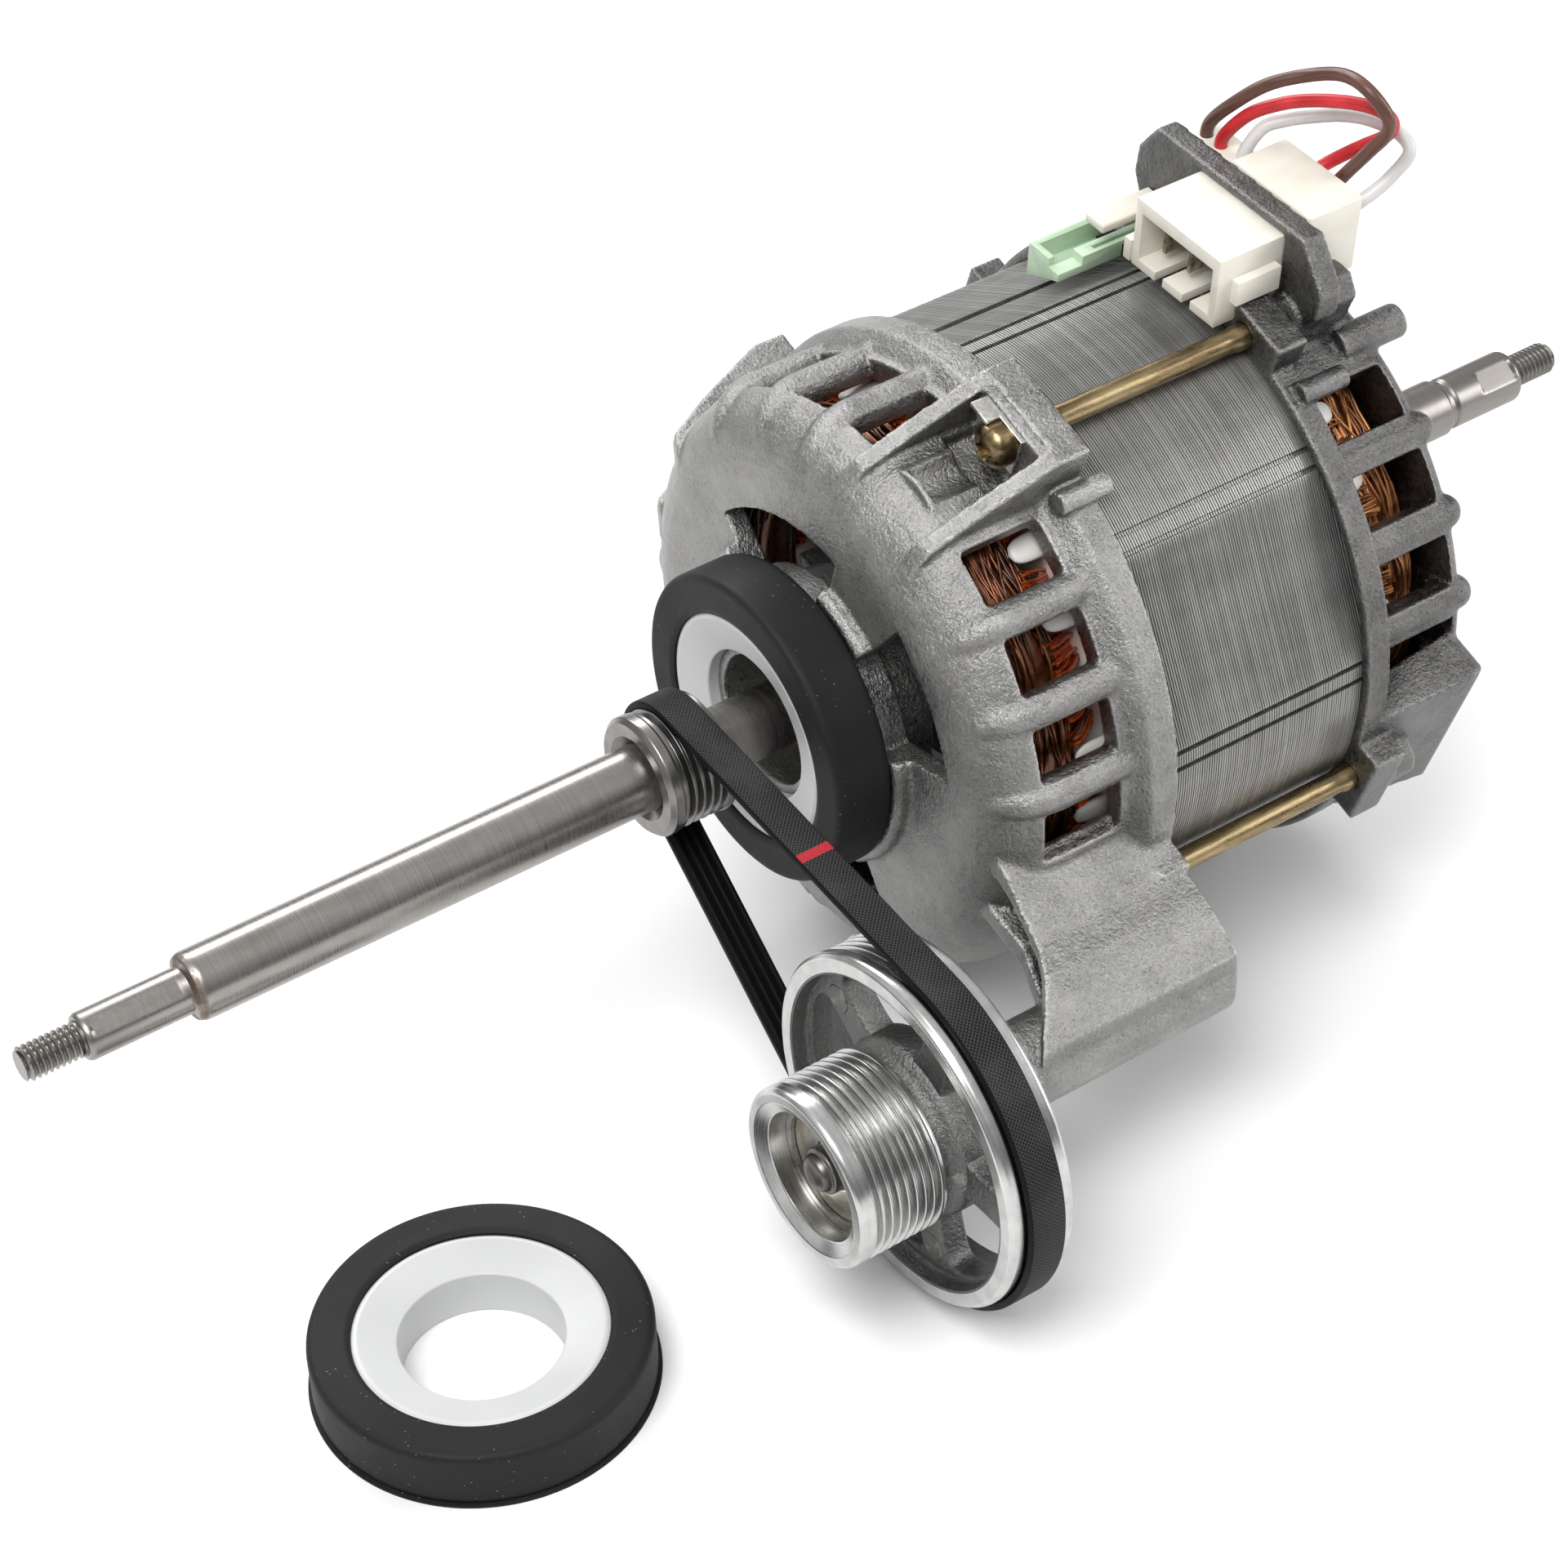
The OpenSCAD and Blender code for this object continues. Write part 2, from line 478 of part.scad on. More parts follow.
module front_bell() color("darkgray") difference() {
  union() {
    difference() {
      lathe(hub_profile_front, 144);
      for (k = [-5 : 13]) if (k < 4 || k > 6) if (clear_of_corner(130 + k * rib_pitch, 13.5))
        sector(130 + (k - 0.5) * rib_pitch + 3.1, 130 + (k + 0.5) * rib_pitch - 3.1, bell_r - 9, bell_r + 6, win_x0, win_x1);
    }
    for (k = [-5 : 13]) if (k < 4 || k > 6) if (clear_of_corner(rib_first + k * rib_pitch, 13))
      rib(rib_first + k * rib_pitch, win_x1 + 2);
    for (c = corners) if (c != corner + 90) {
      top = c == foot_corner ? front_foot : lug_top;
      box_at(c, bell_r - 3.5, top, 2 * lug_half, lug_x0, front_end);
      for (s = [-1, 1]) gusset(c, s * (lug_half - gusset_t / 2), gusset_pts);
      box_at(c, bell_r - 3.3, rod_at + 4.4, 15.4, seat_at, lug_x0 + 0.2);
      turn(c) translate([0, bell_r - 6.3, 0]) bar(lug_half - gusset_t + 0.1, face_x + 9, lug_x0 + 0.3, 48);
    }
    box_at(corner + 90, bell_r - 3.5, rod_at + 4.5, 2 * lug_half - 4, lug_x0, front_end);
    turn(corner + 14) translate([0, flange_r + 0.6, 0]) bar(2, front_end - 7, front_end + 3, 32);
    arm();
    at_counter() bar(boss_r, boss_x0, boss_x1, 64);
  }
  difference() {
    bar(bell_r - bell_wall - 0.4, face_x + front_round - 1, front_lap + 1, 96);
    bar(seat_r + hub_wall + 1, face_x, front_lap, 96);
  }
  bar(stack_r + fit, front_lap, front_end + 5, 144);
  sector(48, 105, vent_r0, 33.8, seat_x - 1, face_x + 6);
  sector(131, 170, vent_r0, 38.5, seat_x - 1, face_x + 6);
  sector(238, 280, vent_r0, 37, seat_x - 1, face_x + 6);
  sector(310, 352, vent_r0, 37, seat_x - 1, face_x + 6);
  for (c = corners) turn(c) translate([0, rod_at, 0]) {
    bar(rod_r + 0.1, face_x + 10, front_end + 1);
    bar(head_r + 1, face_x + 10, seat_at, 32);
  }
  for (c = corners) if (c != corner + 90) box_at(c, rod_at - 6.2, lug_top + 3, 13.4, win_x0 + 9.5, seat_at);
  at_counter() bar(axle_r + fit, boss_x0 - 1, boss_x1 - 12);
}

hub_profile_rear = concat([[bell_r - bell_wall, rear_flange], [flange_r, rear_flange], [flange_r, rear_flange + 4.5],
  [bell_r + 1.4, rear_flange + 5.4], [bell_r, rear_flange + 6]],
  [for (p = arc([bell_r - rear_round, rear_face - rear_round], rear_round, 0, 90, 6)) p],
  [[hub_disc, rear_face], [hub_disc, rear_seat - 0.9], [hub_disc - 0.9, rear_seat], [hub_r, rear_seat],
  [hub_r, rear_seat + nose_reach], [hub_in, rear_seat + nose_reach], [hub_in, rear_brg + bearing_w],
  [seat_r + fit, rear_brg + bearing_w], [seat_r + fit, rear_brg - 2], [seat_r + hub_wall, rear_brg - 2],
  [seat_r + hub_wall, rear_face - 4], [bell_r - bell_wall - 3, rear_face - 4],
  [bell_r - bell_wall, rear_face - 7]]);
// Outline of the connector plate, sideways and height over the stack
plate_outline = [[-21, plate_rise], [16, plate_rise], [18.5, 13.7], [22, 9], [21.5, 4.2], [17.5, -0.8], [16.5, -6.8],
  [20, -12.8], [-22, -12.8], [-19, -6.8], [-23, 0.2], [-25.5, 5.7], [-25, 11.2]];
neck_outline = [[13, -9.8], [19.5, -9.8], [18, -3.3], [18.6, 0.7], [19.8, 4.2], [17.5, 7.7], [13.2, 7.7]];
// A box in the connector's frame: sideways span, height span, along the shaft
module plug_box(t0, t1, h0, h1, x0, x1) turn(plug_dir) translate([x0, h0, t0]) cube([x1 - x0, h1 - h0, t1 - t0]);
module plug_slab(pts, x0, x1) turn(plug_dir) slab([for (p = pts) [p[1] + base_h, p[0]]], x0, x1);
hole_half = socket_w / 2 + 0.15;
// Pad that fills out the corner below the windows and flares towards the rear face
pad_sink = 5;
module pad_slice(x, drop, up, down) translate([x, bell_r - pad_sink, -up])
  cube([0.5, stack_r + pad_rise - drop - bell_r + pad_sink, up + down]);
module corner_pad() turn(corner + 90) hull() {
  pad_slice(rear_flange + 3, 2.5, pad_up - 5.5, pad_down);
  pad_slice(rear_face - 4.5, 0, pad_up, pad_down);
  pad_slice(rear_face - 2, 1.5, pad_up - 1.5, pad_down - 1);
}
module rear_bell() color("gray") difference() {
  union() {
    difference() {
      lathe(hub_profile_rear, 144);
      for (k = [-5 : 14]) if (clear_of_corner(130 + k * rib_pitch, 13.5))
        sector(130 + (k - 0.5) * rib_pitch + 3.3, 130 + (k + 0.5) * rib_pitch - 3.3, bell_r - 12, bell_r + 6,
          rear_win_x0, rear_win_x1);
    }
    for (k = [-5 : 14]) if (clear_of_corner(rib_first + k * rib_pitch, 13))
      turn(rib_first + k * rib_pitch) translate([0, bell_r + 0.4 - rib_w / 2, 0]) {
        bar(rib_w / 2, rear_flange + 4.6, rear_face - 1.5, 32);
        translate([rear_face - 1.5, 0, 0]) sphere(rib_w / 2, $fn = 32);
      }
    for (c = corners) {
      top = c == foot_corner ? rear_foot : lug_top - 1;
      box_at(c, bell_r - 3.5, top, 2 * rear_lug_half, rear_flange, rear_lug_x1);
      turn(c) translate([0, rod_at, 0]) bar(rod_r + 2.2, rear_flange, rear_lug_x1 + 5, 32);
      box_at(c, bell_r - 3.6, rod_at, 2 * (rod_r + 2.2), rear_flange + 0.5, rear_lug_x1 + 5);
    }
    corner_pad();
    turn(corner + 14) translate([0, flange_r + 0.6, 0]) bar(2, rear_flange + 2, rear_flange + 11.5, 32);
    turn(corner + 7.5) translate([0, bell_r - 0.4, 0]) bar(3, rear_flange + 16, rear_face + 4.5, 32);
    plug_slab(plate_outline, plate_x0, plate_x1);
    plug_slab(neck_outline, plate_x1 - 1, plate_x1 + 6);
    plug_box(-20, 16.5, base_h - 10.8, base_h - 0.8, plate_x0 - 2, plate_x1 + 4);
  }
  difference() {
    bar(bell_r - bell_wall - 0.4, stack_x1 - 1, rear_face - 5.2, 96);
    bar(seat_r + hub_wall + 1, stack_x1 - 2, rear_face - 2, 96);
  }
  bar(stack_r + fit, rear_flange - 1, stack_x1, 144);
  for (c = corners) turn(c) translate([0, rod_at, 0]) bar(rod_r + 0.1, rear_flange - 1, rod_x1 + 0.2);
  plug_box(socket_mid - hole_half, socket_mid + hole_half, socket_top - socket_h - 0.15, socket_top + 0.15,
    socket_x0 - 1, plate_x1 + 1);
}

module bearing(x0, w, ro, ri) lathe([[ri, x0 + 0.3], [ri + 0.3, x0], [ri + (ro - ri) * 0.3, x0],
  [ri + (ro - ri) * 0.3, x0 + 0.5], [ro - (ro - ri) * 0.25, x0 + 0.5], [ro - (ro - ri) * 0.25, x0],
  [ro - 0.4, x0], [ro, x0 + 0.4], [ro, x0 + w - 0.4], [ro - 0.4, x0 + w], [ro - (ro - ri) * 0.25, x0 + w],
  [ro - (ro - ri) * 0.25, x0 + w - 0.5], [ri + (ro - ri) * 0.3, x0 + w - 0.5], [ri + (ro - ri) * 0.3, x0 + w],
  [ri + 0.3, x0 + w], [ri, x0 + w - 0.3]]);
module front_bearing() color("dimgray") bearing(front_brg, bearing_w, seat_r, shaft_r + run_play);
module rear_bearing() color("dimgray") bearing(rear_brg + 0.8, bearing_w - 0.8, seat_r, shaft_r + run_play);
module wave_washer() color("silver") difference() {
  bar(seat_r - 0.3, rear_brg, rear_brg + 0.8, 64);
  bar(seat_r - 3.5, rear_brg - 1, rear_brg + 2, 64);
}

module tie_rods() color("darkkhaki") for (c = corners) turn(c) translate([0, rod_at, 0]) difference() {
  union() {
    bar(rod_r, rod_x0 - eps, rod_x1);
    lathe([[0, rod_x0 - head_h], [head_r - 1.2, rod_x0 - head_h], [head_r - 0.4, rod_x0 - head_h + 0.5],
      [head_r, rod_x0 - head_h + 1.4], [head_r, rod_x0], [0, rod_x0]], 48);
    lathe([[0, rear_flange - 3], [rod_r, rear_flange - 3], [rod_r + 0.35, rear_flange - 1.2],
      [rod_r + 0.35, rear_flange], [0, rear_flange]], 48);
  }
  for (a = [0, 90]) rotate([a + 30, 0, 0]) translate([rod_x0 - head_h - 1, -1.7, -0.45]) cube([2.6, 3.4, 0.9]);
}
clip_w = 4.4;
clip_reach = 6.5;
module earth_clip() color("gainsboro") turn(corner) difference() {
  union() {
    translate([rod_x0 + fit, rod_at - 4, -clip_reach]) cube([clip_t, 8, clip_reach + head_r]);
    translate([rod_x0 + clip_t - 3.4, rod_at + 4 - clip_t, -clip_reach]) cube([3.4, clip_t, clip_w]);
  }
  translate([0, rod_at, 0]) bar(rod_r + 0.1, rod_x0 - 1, rod_x0 + 3);
}

module ring_rubber() lathe(concat([[insert_r + fit, ring_x0 + 0.4], [insert_r + 1.2, ring_x0]],
  arc([ring_r - 1.2, ring_x0 + 1.2], 1.2, -90, 0, 4), arc([ring_r - 1.2, ring_x1 + 0.3 - 1.2], 1.2, 0, 90, 4),
  [[insert_r + fit, ring_x1 + 0.3]]), 128);
module ring_insert() lathe([[insert_bore, ring_x0 + 3.3], [insert_bore + 0.8, ring_x0 + 2.5],
  [insert_r - 1, ring_x0 + 0.7], [insert_r, ring_x0 + 0.9], [insert_r, ring_x1 + 0.3], [insert_bore, ring_x1 + 0.3]], 128);
module loose() translate([loose_x, loose_y, floor_z + seat_x]) rotate([0, 90, 0]) children();
module front_ring_rubber() color("black") ring_rubber();
module front_ring_insert() color("whitesmoke") ring_insert();
module loose_ring_rubber() color("black") loose() union() {
  ring_rubber();
  difference() {
    bar(ring_r + 0.6, ring_x1 - 0.2, ring_x1 + 0.3, 128);
    bar(insert_r + 1, ring_x1 - 1, ring_x1 + 1, 128);
  }
}
module loose_ring_insert() color("whitesmoke") loose() ring_insert();

// Closed belt outline round both pulleys at a distance in from its back
function belt_outline(d) = concat(
  arc([0, 0], small_out - d, centre_dir + lean - 360, centre_dir - lean, 18),
  arc([cy, cz], belt_out - d, centre_dir - lean, centre_dir + lean, 48));
module belt() color("black") union() {
  difference() {
    slab(belt_outline(0), belt_x - belt_w / 2, belt_x + belt_w / 2);
    slab(belt_outline(belt_back), belt_x - belt_w / 2 - 1, belt_x + belt_w / 2 + 1);
  }
  for (k = [0 : belt_ribs - 1]) {
    x = belt_x + (k - (belt_ribs - 1) / 2) * pitch;
    difference() {
      slab(belt_outline(belt_back - eps), x - 0.22, x + 0.22);
      slab(belt_outline(belt_back + belt_rib), x - 1, x + 1);
    }
  }
}

rim_in = rim_r - rim_wall;
rim_g0 = belt_x - (belt_ribs / 2) * pitch;
drum_g0 = drum_x0 + drum_land + 0.2;
// Opening between two spokes of even width
spoke_half = spoke_w / 2;
gap_turn = 360 / spokes;
gap_r0 = hub_o + 1;
gap_r1 = rim_in - 1;
module spoke_gap() slab(concat(
  arc([0, 0], gap_r0, asin(spoke_half / gap_r0), gap_turn - asin(spoke_half / gap_r0), 12),
  arc([0, 0], gap_r1, gap_turn - asin(spoke_half / gap_r1), asin(spoke_half / gap_r1), 18)), web_x0 - 1, web_x1 + 1);
module drum_pulley() color("lightgray") at_counter() difference() {
  union() {
    lathe(concat([[small_seat, drum_x0], [drum_r - 0.6, drum_x0], [drum_r, drum_x0 + 0.8]],
      grooves(drum_g0, drum_grooves, drum_r),
      [[drum_r, drum_x1 - 1.2], [hub_o, drum_x1], [hub_o, hub_x1], [small_seat - 2, hub_x1]]), 96);
    lathe(concat([[hub_o - 1, web_x0], [rim_in - 0.8, web_x0], [rim_in, rim_x0], [rim_r - 0.6, rim_x0],
      [rim_r, rim_x0 + 1.1], [rim_r, rim_g0 - 0.6]], grooves(rim_g0, belt_ribs, rim_r - belt_play),
      [[rim_r - belt_play, rim_g0 + belt_ribs * pitch + 0.3], [rim_r, rim_g0 + belt_ribs * pitch + 0.6],
      [rim_r, rim_x1 - 0.5], [rim_r - 0.5, rim_x1], [rim_in, rim_x1], [rim_in - 0.8, web_x1], [hub_o - 1, web_x1]]), 144);
  }
  for (k = [0 : spokes - 1])
    turn(spoke_dir + 360 / spokes * k) spoke_gap();
  bar(small_seat, drum_x0 - 1, small_brg_1 + small_w, 96);
  bar(small_seat, small_brg_2, hub_x1 + 1, 96);
  bar(small_seat - 2, drum_x0, hub_x1 + 1, 96);
  bar(small_seat + 0.6, small_brg_1 - 0.9, small_brg_1 - 0.1, 96);
  lathe([[0, drum_x0 - 1], [small_seat + 2.2, drum_x0 - 1], [small_seat, drum_x0 + 1.2], [0, drum_x0 + 1.2]], 96);
}
module pulley_bearing_front() color("dimgray") at_counter() bearing(small_brg_1, small_w, small_seat - fit, axle_r + run_play);
module pulley_bearing_rear() color("dimgray") at_counter() bearing(small_brg_2, small_w, small_seat - fit, axle_r + run_play);
module snap_ring() color("silver") at_counter() difference() {
  bar(small_seat + 0.5, small_brg_1 - 0.85, small_brg_1 - 0.1, 96);
  bar(small_seat - 1.3, small_brg_1 - 2, small_brg_1 + 1, 96);
  box_at(80, 5, small_seat + 2, 5, small_brg_1 - 2, small_brg_1 + 1);
}
module axle() color("gray") at_counter() {
  lathe([[0, axle_x0], [axle_r - 0.8, axle_x0], [axle_r, axle_x0 + 0.8], [axle_r, hub_x1 + 0.1],
    [axle_r + 2, hub_x1 + 0.1], [axle_r + 2, boss_x0], [axle_r, boss_x0], [axle_r, boss_x1 - 12.2], [0, boss_x1 - 12.2]], 64);
}

socket_t0 = socket_mid - socket_w / 2;
socket_t1 = socket_mid + socket_w / 2;
socket_floor = socket_top - socket_h;
socket_back = plate_x0 + 1;
module socket() color("cornsilk") difference() {
  union() {
    plug_box(socket_t0, socket_t1, socket_floor, socket_top, socket_x0, socket_x1);
    plug_box(socket_t1 - eps, socket_t1 + 1.6, socket_floor + 4, socket_floor + 8.5, socket_x0 + 3, plate_x0 - 1);
    plug_box(socket_t0 - 1.6, socket_t0 + eps, socket_floor + 0.5, socket_floor + 4.5, socket_x0 - 0.5, socket_x0 + 6);
  }
  plug_box(socket_t0 + socket_wall, socket_t1 - socket_wall, socket_floor + socket_wall, socket_top - socket_wall - 0.8,
    socket_x0 - 1, socket_back);
  for (k = [-0.5, 0.5]) plug_box(socket_mid + k * 7 - 1, socket_mid + k * 7 + 1, socket_floor - 1,
    socket_floor + socket_wall + 1, socket_x0 - 1, socket_x0 + 7);
}
module blades() color("silver") for (k = [-1, 0, 1])
  plug_box(socket_mid + k * blade_step - blade_t / 2, socket_mid + k * blade_step + blade_t / 2,
    socket_floor + 3.2, socket_floor + 9.5, socket_x0 + 3, socket_back);
module rear_block() color("cornsilk") plug_box(block_mid - block_w / 2, block_mid + block_w / 2,
  block_top - 14.5, block_top, plate_x1, block_x1);
module lead_outlet() color("cornsilk") plug_box(outlet_mid - outlet_w / 2, outlet_mid + outlet_w / 2 - 0.5,
  outlet_top - 10, outlet_top, plate_x1, plate_x1 + 8.5);

// Leads: smooth curve through the route's points, three steps for each
function curve_pt(p, i, t) = let (a = p[max(i - 1, 0)], b = p[i], c = p[i + 1], d = p[min(i + 2, len(p) - 1)])
  0.5 * ((2 * b) + (c - a) * t + (2 * a - 5 * b + 4 * c - d) * t * t + (3 * b - a - 3 * c + d) * t * t * t);
function curve(p, n) = concat([for (i = [0 : len(p) - 2]) for (k = [0 : n - 1]) curve_pt(p, i, k / n)], [p[len(p) - 1]]);
function to_plug(q) = let (h = q[2] + base_h)
  [q[0], h * cos(plug_dir) - q[1] * sin(plug_dir), h * sin(plug_dir) + q[1] * cos(plug_dir)];
module lead(route) tube_along([for (q = curve(route, 2)) to_plug(q)], lead_r, sides, function(q) [0.6, -0.8, 0.1]);
module lead_brown() color("sienna") lead(brown_route);
module lead_red() color("crimson") lead(red_route);
module lead_white() color("whitesmoke") lead(white_route);

cover_x0 = stack_x1 - 17.5;
cover_h = stack_r - 2.6;
module slot_cover() color("darkseagreen") difference() {
  plug_box(-24.4, -16.4, cover_h - 6, cover_h + 3.2, cover_x0, plate_x0);
  plug_box(-23.2, -19, cover_h - 0.5, cover_h + 6, cover_x0 + 1.2, plate_x0 - 3);
  plug_box(-19.1, -15, cover_h + 1.5, cover_h + 6, cover_x0 - 1, cover_x0 + 5);
  plug_box(-18, -17.2, cover_h + 1.5, cover_h + 6, cover_x0 + 8, plate_x0 - 3);
  plug_box(-20.05, 17, base_h - 11, base_h - 0.75, plate_x0 - 2.05, plate_x0 + 1);
  bar(stack_r + 0.05, cover_x0 - 1, rear_flange, 144);
  bar(flange_r + 0.05, rear_flange - 0.05, plate_x0 + 1, 144);
}
module cover_tab() color("cornsilk") plug_box(-21.4, -16.6, cover_h + 5.9, cover_h + 7.6, socket_x0 - 0.5, plate_x0);

shaft();
rotor_core();
rotor_cage();
motor_pulley();
stator_stack();
slot_coils();
front_insulation();
rear_insulation();
front_winding();
rear_winding();
front_bell();
rear_bell();
front_bearing();
rear_bearing();
wave_washer();
tie_rods();
earth_clip();
front_ring_rubber();
front_ring_insert();
loose_ring_rubber();
loose_ring_insert();
belt();
drum_pulley();
pulley_bearing_front();
pulley_bearing_rear();
snap_ring();
axle();
socket();
blades();
rear_block();
lead_outlet();
lead_brown();
lead_red();
lead_white();
slot_cover();
cover_tab();
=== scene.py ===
import math

import bmesh
import bpy
import numpy as np
from mathutils import Matrix


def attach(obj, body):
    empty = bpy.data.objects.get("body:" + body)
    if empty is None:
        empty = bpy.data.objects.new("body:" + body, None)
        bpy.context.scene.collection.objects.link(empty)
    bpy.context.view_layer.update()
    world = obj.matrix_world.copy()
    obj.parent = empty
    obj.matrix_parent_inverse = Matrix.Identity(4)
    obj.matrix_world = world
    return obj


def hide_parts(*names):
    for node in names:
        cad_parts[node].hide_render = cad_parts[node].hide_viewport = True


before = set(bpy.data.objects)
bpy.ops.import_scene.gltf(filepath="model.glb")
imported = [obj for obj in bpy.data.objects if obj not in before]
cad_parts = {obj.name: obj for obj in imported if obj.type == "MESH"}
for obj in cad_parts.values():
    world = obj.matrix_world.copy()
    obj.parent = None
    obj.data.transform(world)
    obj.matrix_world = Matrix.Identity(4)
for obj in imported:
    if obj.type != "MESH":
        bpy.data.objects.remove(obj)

# A dryer motor with its belt drive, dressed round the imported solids. Sizes are millimetres in the motor's
# own frame: x along the motor axis from the belt end to the connector end, z up, the countershaft at -y.
# An axis is its (y, z) point. A turned piece's profile has corners (x, radius, reach of the rounding).
MM = 0.001
TURN = 2 * math.pi
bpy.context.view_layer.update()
RANDOM = np.random.default_rng(11)

FLOOR_Z = -61.826
COUNTER_AXIS = (-65.7514, -29.8261)
COUNTER_DISTANCE = 72.2
COUNTER_ANGLE = math.radians(204.4)
ROD_ANGLES = np.radians([21, 111, 201, 291])
ROD_DISTANCE = 55.2
STACK_X0, STACK_X1 = 37.5, 86.0
STACK_R, STACK_FLAT = 52.8, 50.2
SHEETS = 97
SHEETS_A_MM = SHEETS / (STACK_X1 - STACK_X0)
SLOTS = 24
PITCH = 1.6
BELT_X = -18.0
BELT_HALF = 3.3


# Surfaces

def lattice(rows, cols, ring=False):
    """Quads of a rows by cols grid of points whose last column meets the first. With ring the rows do too."""
    i, j = np.meshgrid(np.arange(rows if ring else rows - 1), np.arange(cols), indexing="ij")
    up, on = (i + 1) % rows, (j + 1) % cols
    return np.stack([i * cols + j, i * cols + on, up * cols + on, up * cols + j], -1).reshape(-1, 4)


def boxy(value, power):
    """A sine or cosine raised to a power below 1 with its sign kept, which makes an ellipse squarer."""
    return np.sign(value) * np.abs(value) ** power


# How far past a rounded corner a point is set that keeps the flat beside it flat when shaded.
HOLD = 0.04


def eased(corners, steps=4, closed=False):
    """A profile with rounded corners. A corner (x, r, reach) turns on a quadratic curve from reach before
    it to reach after it. A point is set HOLD away on each side where there is room."""
    points, n = [], len(corners)
    flat = np.array([c[:2] for c in corners], float)
    for k, corner in enumerate(corners):
        reach = corner[2] if len(corner) > 2 else 0
        if reach == 0 or (not closed and k in (0, n - 1)):
            points.append(flat[k])
            continue
        before, after = flat[k - 1] - flat[k], flat[(k + 1) % n] - flat[k]
        room = [np.linalg.norm(v) for v in (before, after)]
        near = min(reach, 0.5 * room[0], 0.5 * room[1])
        start, end = (flat[k] + near * v / size for v, size in zip((before, after), room))
        if room[0] > 2 * near + 4 * HOLD:
            points.append(start + HOLD * before / room[0])
        for t in np.linspace(0, 1, steps + 1):
            points.append((1 - t) ** 2 * start + 2 * t * (1 - t) * flat[k] + t * t * end)
        if room[1] > 2 * near + 4 * HOLD:
            points.append(end + HOLD * after / room[1])
    return np.array(points)


def round_axis(x, radius, angle, axis=(0, 0)):
    """Points at a radius and angle round a line parallel to x through axis (y, z)."""
    x, radius, angle = np.broadcast_arrays(x, radius, angle)
    y, z = axis[0] + radius * np.cos(angle), axis[1] + radius * np.sin(angle)
    return np.stack([x, y, z], -1).reshape(-1, 3)


def turned(profile, sides, axis=(0, 0), ring=False):
    """A turned shape: the profile's (x, radius) points carried round the axis in equal steps."""
    angle = np.linspace(0, TURN, sides, endpoint=False)
    return round_axis(profile[:, :1], profile[:, 1:2], angle[None], axis), lattice(len(profile), sides, ring)


def tubes(paths, radius, sides, reference):
    """Round tubes along paths (tubes x points x 3), drawn in to nothing at both ends. Each ring is square
    to the path: one arm is the path's direction crossed with the reference, the other is square to both."""
    paths = np.asarray(paths, float)
    along = np.gradient(paths, axis=1)
    along /= np.linalg.norm(along, axis=2, keepdims=True)
    arm = np.cross(along, reference)
    arm /= np.linalg.norm(arm, axis=2, keepdims=True)
    other = np.cross(along, arm)
    rows = np.concatenate([[0], np.arange(paths.shape[1]), [paths.shape[1] - 1]])
    size = np.full(len(rows), 1.0)
    size[[0, -1]] = 0
    turn = np.linspace(0, TURN, sides, endpoint=False)
    ring = np.cos(turn)[:, None] * arm[:, rows, None] + np.sin(turn)[:, None] * other[:, rows, None]
    points = paths[:, rows, None] + radius * size[None, :, None, None] * ring
    count = len(rows) * sides
    quads = lattice(len(rows), sides)[None] + (np.arange(len(paths)) * count)[:, None, None]
    return points.reshape(-1, 3), quads.reshape(-1, 4)


def placed(name, data):
    """A new object in the scene for a mesh, a light or a camera."""
    made = bpy.data.objects.new(name, data)
    bpy.context.scene.collection.objects.link(made)
    return made


def welded(mesh, reach, clean):
    """The mesh with points joined that lie within reach, in metres, and then cleaned by a bmesh step."""
    shape = bmesh.new()
    shape.from_mesh(mesh)
    bmesh.ops.remove_doubles(shape, verts=shape.verts, dist=reach)
    clean(shape)
    shape.to_mesh(mesh)
    shape.free()
    return mesh


def piece(name, parts, finish, body, replaces, sharp=38, uv=None):
    """One piece of the motor from (points, faces) parts: welded, its edges sharp past an angle in degrees,
    riding on its body."""
    points, faces, base = [], [], 0
    for part_points, part_faces in parts:
        points.append(part_points)
        faces += (part_faces + base).tolist()
        base += len(part_points)
    mesh = bpy.data.meshes.new(name)
    mesh.from_pydata((np.concatenate(points) * MM).tolist(), [], faces)
    if uv is not None:
        mesh.uv_layers.new(name="run").data.foreach_set("uv", np.asarray(uv, np.float32).ravel())

    def without_slivers(shape):
        bmesh.ops.dissolve_degenerate(shape, edges=shape.edges, dist=1e-6)

    return dressed(name, welded(mesh, 2e-6, without_slivers), finish, body, replaces, sharp)


def dressed(name, mesh, finish, body, replaces, sharp):
    """The object for a finished mesh, with its finish, its body and the solids that it stands for."""
    mesh.polygons.foreach_set("use_smooth", [True] * len(mesh.polygons))
    mesh.set_sharp_from_angle(angle=math.radians(sharp))
    mesh.materials.clear()
    mesh.materials.append(finish)
    made = placed(name, mesh)
    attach(made, body)
    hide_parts(*replaces)
    return made


def merged_copy(node):
    """A copy of a solid's mesh with its loose triangles joined and its flat faces whole."""
    def whole(shape):
        bmesh.ops.dissolve_limit(shape, angle_limit=math.radians(0.5), verts=shape.verts, edges=shape.edges)

    return welded(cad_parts[node].data.copy(), 1e-6, whole)


